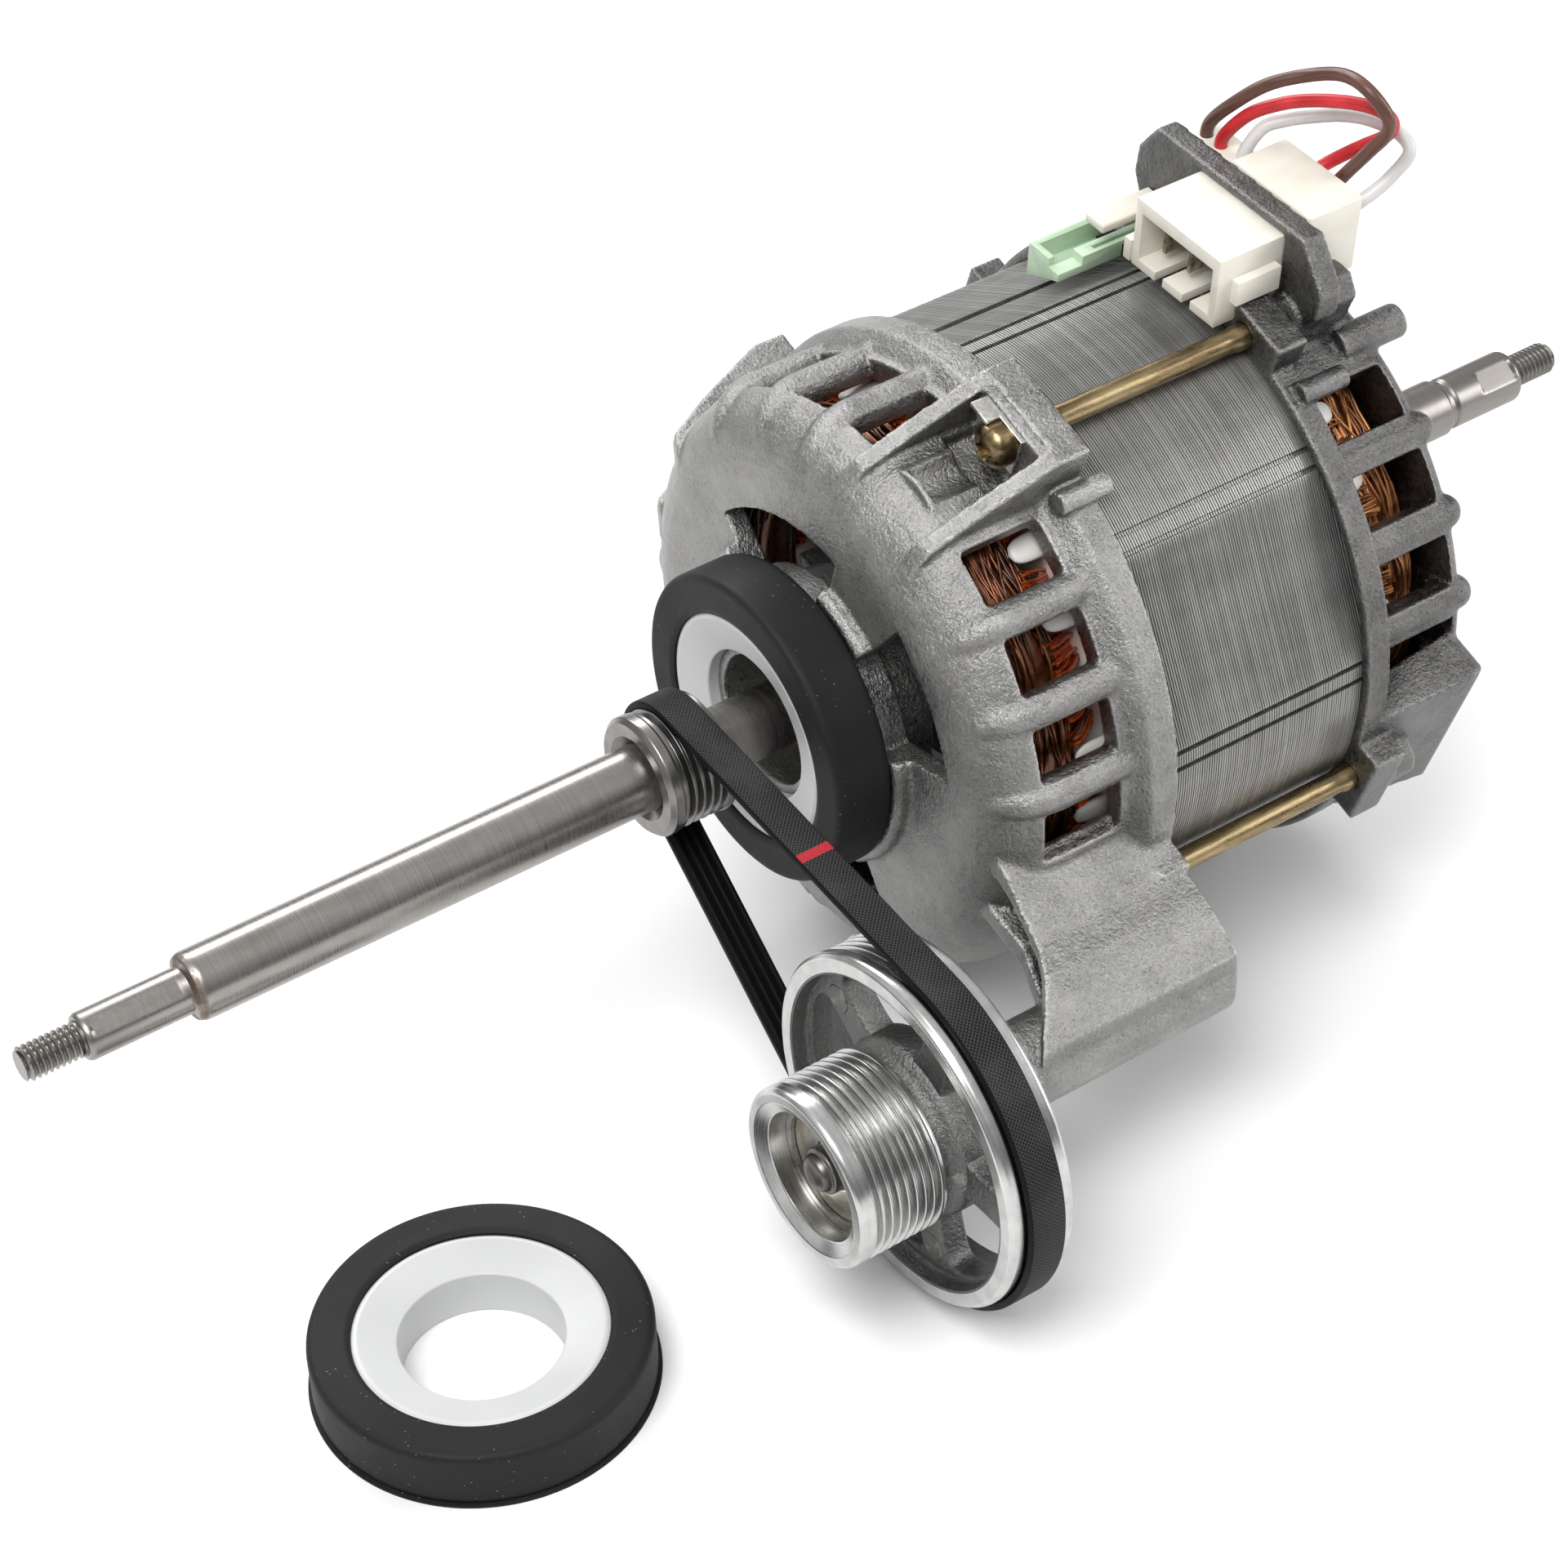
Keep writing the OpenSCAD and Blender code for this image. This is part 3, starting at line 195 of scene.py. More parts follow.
def worked(mesh, name, *steps):
    """The mesh after modifiers, each a (type, settings) pair, have been applied in order."""
    holder = placed(name, mesh)
    for kind, settings in steps:
        modifier = holder.modifiers.new(kind.title(), kind)
        for key, value in settings.items():
            setattr(modifier, key, value)
    bpy.context.view_layer.update()
    result = bpy.data.meshes.new_from_object(holder.evaluated_get(bpy.context.evaluated_depsgraph_get()))
    bpy.data.objects.remove(holder)
    return result


# The net's size in mm and the share of its faces that is kept. The angles make an edge sharp.
CAST_GRAIN, CAST_KEPT = 0.45, 0.28
CAST_SHARP, MOULD_SHARP = 60, 30


def cast_skin(node, name, finish, body):
    """A casting's skin: the solid's shape drawn anew on an even net, smoothed so that edges and corners are
    soft, and thinned to a share of its faces."""
    net = ("REMESH", {"mode": "VOXEL", "voxel_size": CAST_GRAIN * MM, "adaptivity": 0.0})
    soften = ("SMOOTH", {"factor": 0.45, "iterations": 2})
    thin = ("DECIMATE", {"ratio": CAST_KEPT})
    skin = worked(merged_copy(node), name, net, soften, thin)
    return dressed(name, skin, finish, body, (node,), CAST_SHARP)


def softened(node, name, finish, body, width, segments):
    """A moulded or stamped piece: the solid's shape with its sharp edges rounded."""
    bevel = ("BEVEL", {"width": width * MM, "segments": segments, "limit_method": "ANGLE",
                       "angle_limit": math.radians(35)})
    return dressed(name, worked(merged_copy(node), name, bevel), finish, body, (node,), MOULD_SHARP)


# Finishes

class Value:
    """An output of a finish's nodes. A sum, difference or product of values adds a Math node."""

    def __init__(self, finish, socket):
        self.finish, self.socket = finish, socket

    def __add__(self, other):
        return self.finish.math("ADD", self, other)

    def __sub__(self, other):
        return self.finish.math("SUBTRACT", self, other)

    def __mul__(self, other):
        return self.finish.math("MULTIPLY", self, other)

    __radd__ = __add__


class Finish:
    """A material made step by step round one Principled shader. Patterns read the piece's own
    coordinates."""

    def __init__(self, name, color=(0.5, 0.5, 0.5), **fixed):
        self.material = bpy.data.materials.new(name)
        self.material.use_nodes = True
        self.tree = self.material.node_tree
        self.tree.nodes.clear()
        output = self.tree.nodes.new("ShaderNodeOutputMaterial")
        self.shader = self.tree.nodes.new("ShaderNodeBsdfPrincipled")
        self.tree.links.new(self.shader.outputs[0], output.inputs[0])
        self.put("Base Color", (*color, 1))
        for key, value in fixed.items():
            self.put(key.replace("_", " ").title().replace("Ior", "IOR"), value)
        self.coordinates = self.node("ShaderNodeTexCoord", output="Object")

    def node(self, kind, settings=(), sockets=(), output=0):
        """A new node with its settings and its inputs, and one of its outputs as a value."""
        made = self.tree.nodes.new(kind)
        for key, value in dict(settings).items():
            setattr(made, key, value)
        for key, value in dict(sockets).items():
            self.feed(made.inputs[key], value)
        return Value(self, made.outputs[output])

    def feed(self, socket, value):
        """A value linked to a socket, or a plain number or colour set there."""
        if isinstance(value, Value):
            self.tree.links.new(value.socket, socket)
        else:
            socket.default_value = value

    def put(self, socket, value):
        """One input of the shader."""
        self.feed(self.shader.inputs[socket], value)

    def math(self, operation, *values):
        """A Math node on one or two values."""
        return self.node("ShaderNodeMath", {"operation": operation}, dict(enumerate(values)))

    def blend(self, share, low, high):
        """A colour between two, by share."""
        low, high = ((*c, 1) if isinstance(c, tuple) else c for c in (low, high))
        return self.node("ShaderNodeMix", {"data_type": "RGBA"}, {0: share, 6: low, 7: high}, 2)

    def spread(self, value, low, high, to_low=0.0, to_high=1.0):
        """A value eased from low..high to to_low..to_high, and held beyond."""
        sockets = {"Value": value, "From Min": low, "From Max": high, "To Min": to_low, "To Max": to_high}
        return self.node("ShaderNodeMapRange", {"interpolation_type": "SMOOTHSTEP"}, sockets)

    def place(self, size, stretch=(1, 1, 1)):
        """The piece's coordinates for a pattern of a size in millimetres, longer along an axis by its
        stretch."""
        scale = tuple(1 / (size * MM * s) for s in stretch)
        return self.node("ShaderNodeMapping", {}, {"Vector": self.coordinates, "Scale": scale})

    def noise(self, size, detail=2.0, rough=0.5, stretch=(1, 1, 1)):
        """Soft noise of a size in millimetres."""
        sockets = {"Vector": self.place(size, stretch), "Scale": 1.0, "Detail": detail, "Roughness": rough}
        return self.node("ShaderNodeTexNoise", {}, sockets)

    def cells(self, size):
        """Distance to the nearest of scattered points that lie about a size in millimetres apart."""
        return self.node("ShaderNodeTexVoronoi", {}, {"Vector": self.place(size), "Scale": 1.0}, "Distance")

    def rings(self, size, axis):
        """Tool marks of a size in millimetres: noise that changes only along x and away from the axis (y,
        z)."""
        y, z = self.along(1) - axis[0], self.along(2) - axis[1]
        reach = self.math("SQRT", y * y + z * z) * (1 / size)
        place = self.node("ShaderNodeCombineXYZ", {}, {0: self.along(0) * (1 / size), 1: reach})
        sockets = {"Vector": place, "Scale": 1.0, "Detail": 2.0, "Roughness": 0.6}
        return self.node("ShaderNodeTexNoise", {}, sockets)

    def along(self, axis):
        """One coordinate of the piece, in millimetres."""
        return self.node("ShaderNodeSeparateXYZ", {}, {0: self.coordinates}, axis) * (1 / MM)

    def band(self, value, low, high, edge):
        """1 where a value lies between low and high, with soft edges."""
        return self.spread(value, low - edge, low) * self.spread(value, high, high + edge, 1.0, 0.0)

    def tint(self, pattern, dark, light, low=0.3, high=0.7):
        """The colour: dark to light as a pattern goes from low to high."""
        self.put("Base Color", self.blend(self.spread(pattern, low, high), dark, light))

    def roughen(self, pattern, smooth, rough):
        """The roughness: smooth to rough as a pattern goes from 0.3 to 0.7."""
        self.put("Roughness", self.spread(pattern, 0.3, 0.7, smooth, rough))

    def relief(self, height, depth, strength=1.0):
        """Bump of a height from 0 to 1 that stands depth millimetres."""
        sockets = {"Height": height, "Distance": depth * MM, "Strength": strength}
        self.put("Normal", self.node("ShaderNodeBump", {}, sockets, "Normal"))


def casting(name, dark, light, rough, sparkle):
    """Die-cast aluminium: cloudy tone, a fine pebbled skin, worn bright edges and painted shade that darkens
    its hollows.
    """
    f = Finish(name, metallic=1.0)
    clouds = f.noise(9.0, 4.0, 0.6)
    pebble = f.noise(0.6, 3.0, 0.7)
    lumps = f.noise(2.6, 2.0)
    # Pointiness marks both the worn bright edges and the hollows, where painted shade darkens the colour.
    wear_and_shade = f.node("ShaderNodeNewGeometry", output="Pointiness")
    edge = f.spread(wear_and_shade, 0.5, 0.56)
    hollow_shade = f.spread(wear_and_shade, 0.40, 0.5)
    tone = clouds * 0.5 + pebble * 0.5 + edge * 0.25 - 0.12
    shade = f.blend(f.spread(tone, 0.1, 0.85), dark, light)
    # Painted shade: the colour darkens towards a third of the dark tone in the hollows.
    f.put("Base Color", f.blend(hollow_shade * 0.7 + 0.3, tuple(0.35 * c for c in dark), shade))
    f.roughen(pebble * 0.7 + clouds * 0.3, rough - sparkle, rough + 0.1)
    f.relief(pebble + lumps, 0.32)
    return f.material


def ground_steel():
    """A ground shaft: fine rings round its axis, bright along its length, with a brown line of patina
    beside its front shoulder, darker ends and a band of painted shade just behind the pinion."""
    f = Finish("ground_steel", metallic=1.0)
    rings = f.rings(0.3, (0, 0))
    stain = f.noise(3.0, 4.0, 0.65, stretch=(4, 1, 1))
    x = f.along(0)
    rust = f.band(x, -109.2, -108.2, 0.7) * f.spread(stain, 0.35, 0.6)
    ends = f.spread(x, -112.0, -126.0) * 0.35 + f.spread(x, 120.0, 124.0) * 0.55
    # Painted shade: a darker band on the shaft just behind the pinion's flange.
    wear_and_shade = f.band(x, -13.5, -11.5, 0.4) * 0.6
    tone = f.blend(f.spread(rings * 0.3 + stain * 0.7, 0.25, 0.75), (0.27, 0.255, 0.24), (0.37, 0.352, 0.335))
    tone = f.blend(ends, tone, (0.17, 0.16, 0.15))
    tone = f.blend(wear_and_shade, tone, (0.16, 0.14, 0.13))
    f.put("Base Color", f.blend(rust * 0.7, tone, (0.13, 0.085, 0.05)))
    f.put("Roughness", f.spread(rings, 0.3, 0.7, 0.25, 0.32) + rust * 0.3 + ends * 0.15)
    f.relief(rings, 0.0006, 0.3)
    return f.material


def turned_metal(name, dark, light, rough, turned_axis=(0, 0)):
    """Turned metal: rings left by the tool, with a little grime in them."""
    f = Finish(name, metallic=1.0)
    rings = f.rings(0.28, turned_axis)
    grime = f.noise(4.0, 3.0, 0.6)
    f.tint(rings * 0.3 + grime * 0.7, dark, light, 0.2, 0.8)
    f.roughen(rings, rough, rough + 0.06)
    f.relief(rings, 0.0012, 0.4)
    return f.material


def stacked_sheets():
    """Bare lamination sheets on edge: each its own grey, handled and faintly stained, with dark gaps
    between."""
    f = Finish("stacked_sheets", metallic=0.9)
    count = (f.along(0) - STACK_X0) * SHEETS_A_MM
    whole = f.math("FLOOR", count)
    sheet = f.node("ShaderNodeTexWhiteNoise", {"noise_dimensions": "1D"}, {"W": whole}, "Value")
    handled = f.noise(7.0, 3.0, 0.6, stretch=(3, 1, 1))
    groups = f.noise(2.6, 2.0, 0.6, stretch=(1, 30, 30))
    stain = f.noise(18.0, 3.0, 0.6)
    tone = sheet * 0.10 + groups * 0.45 + handled * 0.45
    shade = f.blend(f.spread(tone, 0.2, 0.8), (0.23, 0.228, 0.222), (0.40, 0.397, 0.385))
    gap = f.spread(f.math("FRACT", count), 0.55, 0.8)
    shade = f.blend(gap * 0.75, shade, (0.05, 0.05, 0.05))
    f.put("Base Color", f.blend(f.spread(stain, 0.55, 0.75) * 0.25, shade, (0.17, 0.15, 0.14)))
    f.put("Roughness", f.spread(tone, 0.2, 0.8, 0.34, 0.46))
    return f.material


def black_rubber():
    """Moulded rubber, satin black with a scatter of pale dust."""
    f = Finish("black_rubber", specular_ior_level=0.16)
    skin = f.noise(0.7, 3.0, 0.6)
    bloom = f.noise(14.0, 3.0, 0.6)
    dust = f.spread(f.cells(1.3), 0.13, 0.05) * f.spread(f.noise(5.0), 0.45, 0.6)
    shade = f.blend(bloom, (0.009, 0.009, 0.010), (0.020, 0.020, 0.021))
    f.put("Base Color", f.blend(dust * 0.5, shade, (0.35, 0.34, 0.32)))
    f.put("Roughness", f.spread(bloom, 0.3, 0.7, 0.50, 0.62) + dust * 0.3)
    f.relief(skin, 0.08, 0.5)
    return f.material


def milky_insert():
    """Smooth milky plastic with faint flow marks."""
    f = Finish("milky_insert", subsurface_weight=0.1, subsurface_scale=0.002)
    flow = f.noise(22.0, 2.0, 0.5)
    f.tint(flow, (0.50, 0.505, 0.51), (0.54, 0.545, 0.55))
    f.roughen(flow, 0.30, 0.42)
    f.relief(f.noise(1.5, 2.0), 0.02, 0.3)
    return f.material


def belt_fabric():
    """A ribbed belt: on its back fine cords that cross aslant, dust, and one red bar across. The run's
    coordinates are millimetres along the belt and across it."""
    f = Finish("belt_fabric", specular_ior_level=0.14)
    run = f.node("ShaderNodeUVMap", {"uv_map": "run"})
    u, v = (f.node("ShaderNodeSeparateXYZ", {}, {0: run}, k) * (1 / MM) for k in (0, 1))
    slant = f.math("SINE", (u + v) * (TURN / CORD_PITCH))
    cross = f.math("SINE", (u - v) * (TURN / CORD_PITCH))
    back = f.band(v, -BACK_HALF, BACK_HALF, 0.2)
    cords = f.math("MAXIMUM", slant, cross) * back
    dust = f.noise(0.5, 3.0, 0.7) * f.spread(f.noise(11.0, 3.0), 0.4, 0.7)
    shade = f.blend(f.spread(cords, 0.2, 1.0), (0.002, 0.002, 0.003), (0.036, 0.035, 0.034))
    shade = f.blend(dust * back * 0.14, shade, (0.26, 0.25, 0.24))
    bar = f.band(u, RED_MARK - RED_HALF, RED_MARK + RED_HALF, 0.15)
    red = bar * back * f.spread(f.noise(0.8, 3.0), 0.22, 0.4)
    f.put("Base Color", f.blend(red, shade, (0.38, 0.022, 0.030)))
    f.put("Roughness", 0.52 + dust * 0.3)
    f.relief(cords, 0.09, 0.8)
    return f.material


def wire(name, dark, light, lacquer):
    """Lacquered winding wire, each strand a little different."""
    f = Finish(name, metallic=0.75, coat_weight=lacquer, coat_roughness=0.12)
    strand = f.node("ShaderNodeNewGeometry", output="Random Per Island")
    blotch = f.noise(1.6, 3.0, 0.6)
    f.tint(strand * 0.6 + blotch * 0.5, dark, light, 0.2, 0.9)
    f.roughen(blotch, 0.24, 0.40)
    return f.material


def yellow_zinc():
    """Steel plated with yellow zinc that has gone brown in streaks."""
    f = Finish("yellow_zinc", metallic=1.0)
    streak = f.noise(1.6, 4.0, 0.65, stretch=(10, 1, 1))
    spots = f.noise(0.9, 3.0, 0.6)
    shade = f.blend(f.spread(streak, 0.35, 0.65), (0.15, 0.105, 0.055), (0.38, 0.295, 0.16))
    f.put("Base Color", f.blend(f.spread(spots, 0.58, 0.72) * 0.6, shade, (0.16, 0.11, 0.07)))
    f.roughen(streak * 0.5 + spots * 0.5, 0.22, 0.42)
    f.relief(spots, 0.006, 0.4)
    return f.material


def moulded(name, dark, light, rough=0.42, depth=0.02):
    """Moulded plastic: almost even, with faint flow and a fine skin."""
    f = Finish(name, subsurface_weight=0.12, subsurface_scale=0.002)
    flow = f.noise(6.0, 3.0, 0.55, stretch=(2.5, 1, 1))
    f.tint(flow, dark, light)
    f.roughen(flow, rough - 0.05, rough + 0.06)
    f.relief(f.noise(0.6, 3.0, 0.6), depth, 0.4)
    return f.material


def plated(name, dark, light, rough):
    """Thin plate, tinned or bare, with blotches."""
    f = Finish(name, metallic=1.0)
    blotch = f.noise(1.4, 4.0, 0.6)
    f.tint(blotch, dark, light)
    f.roughen(blotch, rough, rough + 0.15)
    f.relief(blotch, 0.02, 0.4)
    return f.material


# Belt run

BELT_R_SMALL, BELT_R_LARGE = 11.6, 32.0
LEAN = math.pi - math.acos((BELT_R_LARGE - BELT_R_SMALL) / COUNTER_DISTANCE)
BACK_HALF = 2.9
CORD_PITCH = 0.75
RED_MARK, RED_HALF = 67.0, 0.85
# One rib's points as (across, depth), and the coordinate across that the fabric has on the ribs.
RIB = ((0.72, 1.25), (0.30, 2.0), (0.18, 2.1), (-0.18, 2.1), (-0.30, 2.0), (-0.72, 1.25))
OFF_BACK = 9.0


def belt_run(count=420):
    """The belt's back line round both pulleys as evenly spaced (y, z) points, with outward normals and
    length so far: an arc on each pulley from the tangent's angle to the other tangent's, and straight runs
    between."""
    small = np.linspace(COUNTER_ANGLE + LEAN - TURN, COUNTER_ANGLE - LEAN, 60)
    large = np.linspace(COUNTER_ANGLE - LEAN, COUNTER_ANGLE + LEAN, 160)
    on_small = np.stack([BELT_R_SMALL * np.cos(small), BELT_R_SMALL * np.sin(small)], -1)
    on_large = np.stack([COUNTER_AXIS[0] + BELT_R_LARGE * np.cos(large),
                         COUNTER_AXIS[1] + BELT_R_LARGE * np.sin(large)], -1)
    turn = np.concatenate([small, large, [small[0] + TURN]])
    line = np.concatenate([on_small, on_large, on_small[:1]])
    length = np.concatenate([[0], np.cumsum(np.linalg.norm(np.diff(line, axis=0), axis=1))])
    even = np.linspace(0, length[-1], count + 1)
    at = np.stack([np.interp(even, length, line[:, k]) for k in (0, 1)], -1)
    angle = np.interp(even, length, turn)
    return at, np.stack([np.cos(angle), np.sin(angle)], -1), even


def belt():
    """The belt: a profile of (across, depth) points with a rounded back and four V ribs, carried along the
    run. Only the back has the fabric, so the fabric's coordinate across is OFF_BACK on the ribs."""
    profile = [(-BELT_HALF, 1.1), (-BELT_HALF, 0.35), (-3.15, 0.1), (-BACK_HALF, 0.0), (0.0, 0.0),
               (BACK_HALF, 0.0), (3.15, 0.1), (BELT_HALF, 0.35), (BELT_HALF, 1.1)]
    for k in (1.5, 0.5, -0.5, -1.5):
        profile += [(k * PITCH + across, depth) for across, depth in RIB]
    profile = np.array(profile)
    at, normal, length = belt_run()
    at, normal = at[:-1], normal[:-1]
    place = at[:, None] - normal[:, None] * profile[None, :, 1:2]
    rows, cols = place.shape[:2]
    x = np.broadcast_to(BELT_X + profile[None, :, :1], (rows, cols, 1))
    skin = np.concatenate([x, place], -1).reshape(-1, 3), lattice(rows, cols, ring=True)
    u = np.stack([length[:-1], length[:-1], length[1:], length[1:]], -1)[:, None] * np.ones((1, cols, 1))
    across = np.where(profile[:, 1] < 1.2, profile[:, 0], OFF_BACK)
    after = np.roll(across, -1)
    v = np.stack([across, after, after, across], -1)[None] * np.ones((rows, 1, 1))
    return piece("belt_loop", [skin], belt_fabric(), "housing", ["belt"], sharp=50,
                 uv=np.stack([u, v], -1) * MM)


# Turned pieces

SHAFT_R = 5.75
STUD_R, STUD_TIP = 2.95, 2.4
THREAD_DEPTH, THREAD_PITCH = 0.55, 1.0
SHAFT_X0, SHAFT_X1 = -137, 174
SHAFT_PROFILE = [
    (SHAFT_X0, 0), (SHAFT_X0, STUD_TIP, 0.2), (-136.4, STUD_R), (-127.0, STUD_R), (-127.0, 3.6, 0.2),
    (-126.4, 3.95, 0.3), (-109.2, 3.95, 0.2), (-108.7, 5.3, 0.2), (-107.6, SHAFT_R, 0.5), (-26, SHAFT_R),
    (0, SHAFT_R), (60, SHAFT_R), (120, SHAFT_R), (123.0, SHAFT_R, 0.3), (123.4, 5.25, 0.2),
    (146.6, 5.25, 0.3), (147.2, 4.4, 0.2), (148.3, 4.4, 0.2), (148.8, 4.8, 0.3), (163.4, 4.8, 0.4),
    (164, 4.2, 0.2), (164, STUD_R), (173.4, STUD_R), (SHAFT_X1, STUD_TIP, 0.2), (SHAFT_X1, 0)]
# Each pair of flats: its ends in x and its distance from the axis.
FLATS = ((-125.5, -110.5, 3.6), (154.7, 162.8, 4.2))
FLAT_DIR = math.radians(128)


def shaft():
    """The shaft in polar form, r(x, angle): the turned profile, drawn in on the studs by a helix whose
    depth follows (x / pitch - angle / turn), and cut by two opposite flats at each end."""
    profile = eased(SHAFT_PROFILE)
    stations = np.unique(np.round(np.concatenate([
        np.arange(-137, -126.9, 0.1), np.arange(164, 174.05, 0.1), profile[:, 0], np.arange(-126, -110, 0.5),
        np.arange(148, 164, 0.5)]), 4))
    outline = np.interp(stations, profile[:, 0] + np.arange(len(profile)) * 1e-6, profile[:, 1])
    outline[[0, -1]] = 0
    stations = np.concatenate([[stations[0]], stations, [stations[-1]]])
    outline = np.concatenate([[0], outline, [0]])
    outline[[1, -2]] = STUD_TIP
    sides = 96
    angle = np.linspace(0, TURN, sides, endpoint=False)[None]
    x = stations[:, None]
    phase = np.abs(2 * ((x / THREAD_PITCH - angle / TURN) % 1.0) - 1)
    depth = THREAD_DEPTH * np.clip(1.3 * phase - 0.15, 0, 1)
    on_stud = ((x < -127.4) & (x > -136.9)) | ((x > 164.4) & (x < 173.9))
    radius = outline[:, None] - np.where(on_stud, depth, 0) * (outline[:, None] > 2.0)
    across = np.abs(np.cos(angle - FLAT_DIR))
    for low, high, flat in FLATS:
        limit = flat + 2.0 * np.clip((np.abs(x - (low + high) / 2) - (high - low) / 2) / 0.5, 0, 1)
        cut = np.minimum(radius, limit / np.maximum(across, 0.3))
        radius = np.where((x > low - 0.6) & (x < high + 0.6), cut, radius)
    skin = round_axis(x, radius, angle), lattice(len(stations), sides)
    return piece("shaft_ground", [skin], ground_steel(), "rotor", ["shaft"], sharp=32)


def grooved(x0, count, tip, depth=1.2):
    """The profile of count V grooves, one every pitch, with narrow flats on their ridges and in their
    roots."""
    out = []
    for k in range(count):
        start, middle, end = (x0 + (k + part) * PITCH for part in (0, 0.5, 1))
        out += [(start + 0.16, tip, 0.08), (middle - 0.12, tip - depth, 0.1),
                (middle + 0.12, tip - depth, 0.1), (end - 0.16, tip, 0.08)]
    return out


PINION_TIP = 10.3


def pinion():
    """The small pulley: a chamfered flange, five grooves and a low flange behind."""
    corners = [(-26, 7.5, 0.1), (-26, 9.7, 0.12), (-25.15, 10.5, 0.15), (-23.6, 10.5, 0.1),
               (-23.3, PINION_TIP, 0.05)]
    corners += grooved(-22.8, 5, PINION_TIP)
    corners += [(-14.55, PINION_TIP, 0.05), (-14.3, 10.5, 0.1), (-13.6, 10.5, 0.1), (-13.5, 10.4, 0.1),
                (-13.5, 5.77), (-24.35, 5.77)]
    steel = turned_metal("pulley_steel", (0.17, 0.165, 0.16), (0.31, 0.30, 0.29), 0.28)
    skin = turned(eased(corners, 2, closed=True), 144, ring=True)
    return piece("pinion_turned", [skin], steel, "rotor", ["motor_pulley"], sharp=40)


WEB_X0, WEB_X1 = -21.0, -16.2
WEB_IN, WEB_OUT = 13.2, 27.0
HOLE_IN, HOLE_OUT = 14.6, 26.0
EDGE_R = 0.8
SPOKES = 5
SPOKE_DIR = math.radians(38)
SPOKE_HALF = 3.4
MARKED_SPOKES, MARK_DISTANCE = (0, 3), 22.6
DRUM_TIP = 15.35


def web_cell(index):
    """One fifth of the web with its opening. The opening is a loop of (radius, angle) points with rounded
    corners, its sides half a spoke away from the spokes' middles. The cell's border is met by rays from the
    opening's middle, and the opening's two edges are rounded over."""
    half_cell = math.pi / SPOKES
    middle = SPOKE_DIR + half_cell * (2 * index + 1)
    r_mid, half_r = (HOLE_IN + HOLE_OUT) / 2, (HOLE_OUT - HOLE_IN) / 2
    t = np.linspace(0, TURN, 120, endpoint=False)
    out = boxy(np.cos(t), 0.42) * half_r
    half_turn = half_cell - np.arcsin(SPOKE_HALF / (r_mid + out))
    hole = np.stack([out, boxy(np.sin(t), 0.42) * half_turn * r_mid], -1)
    room = np.where(hole[:, 0] > 0, WEB_OUT - r_mid, r_mid - WEB_IN)
    rim_reach = room / np.maximum(np.abs(hole[:, 0]), 1e-6)
    side_reach = half_cell * r_mid / np.maximum(np.abs(hole[:, 1]), 1e-6)
    reach = np.minimum(rim_reach, side_reach)[:, None]
    outward = hole / np.linalg.norm(hole, axis=1, keepdims=True)
    edge = np.minimum(EDGE_R, EDGE_R * np.linalg.norm(hole, axis=1, keepdims=True) * (reach - 1))
    bend = [(hole + outward * edge * (1 - math.sin(a)), EDGE_R * (1 - math.cos(a)))
            for a in np.linspace(0, math.pi / 2, 6)]
    rows = [(hole * reach, WEB_X0)] + [(loop, WEB_X0 + dip) for loop, dip in bend]
    rows += [(loop, WEB_X1 - dip) for loop, dip in bend[::-1]] + [(hole * reach, WEB_X1)]
    points = [round_axis(x, r_mid + p[:, 0], middle + p[:, 1] / r_mid, COUNTER_AXIS) for p, x in rows]
    return np.concatenate(points), lattice(len(rows), len(t))


def ejector_mark(spoke):
    """A round mark that stands a little proud of a spoke's face."""
    angle = SPOKE_DIR + TURN * spoke / SPOKES
    profile = eased([(-21.2, 0), (-21.2, 2.3, 0.1), (-21.0, 2.5, 0.05), (-20.7, 2.5)], 2)
    return turned(profile, 40, (COUNTER_AXIS[0] + MARK_DISTANCE * math.cos(angle),
                                COUNTER_AXIS[1] + MARK_DISTANCE * math.sin(angle)))


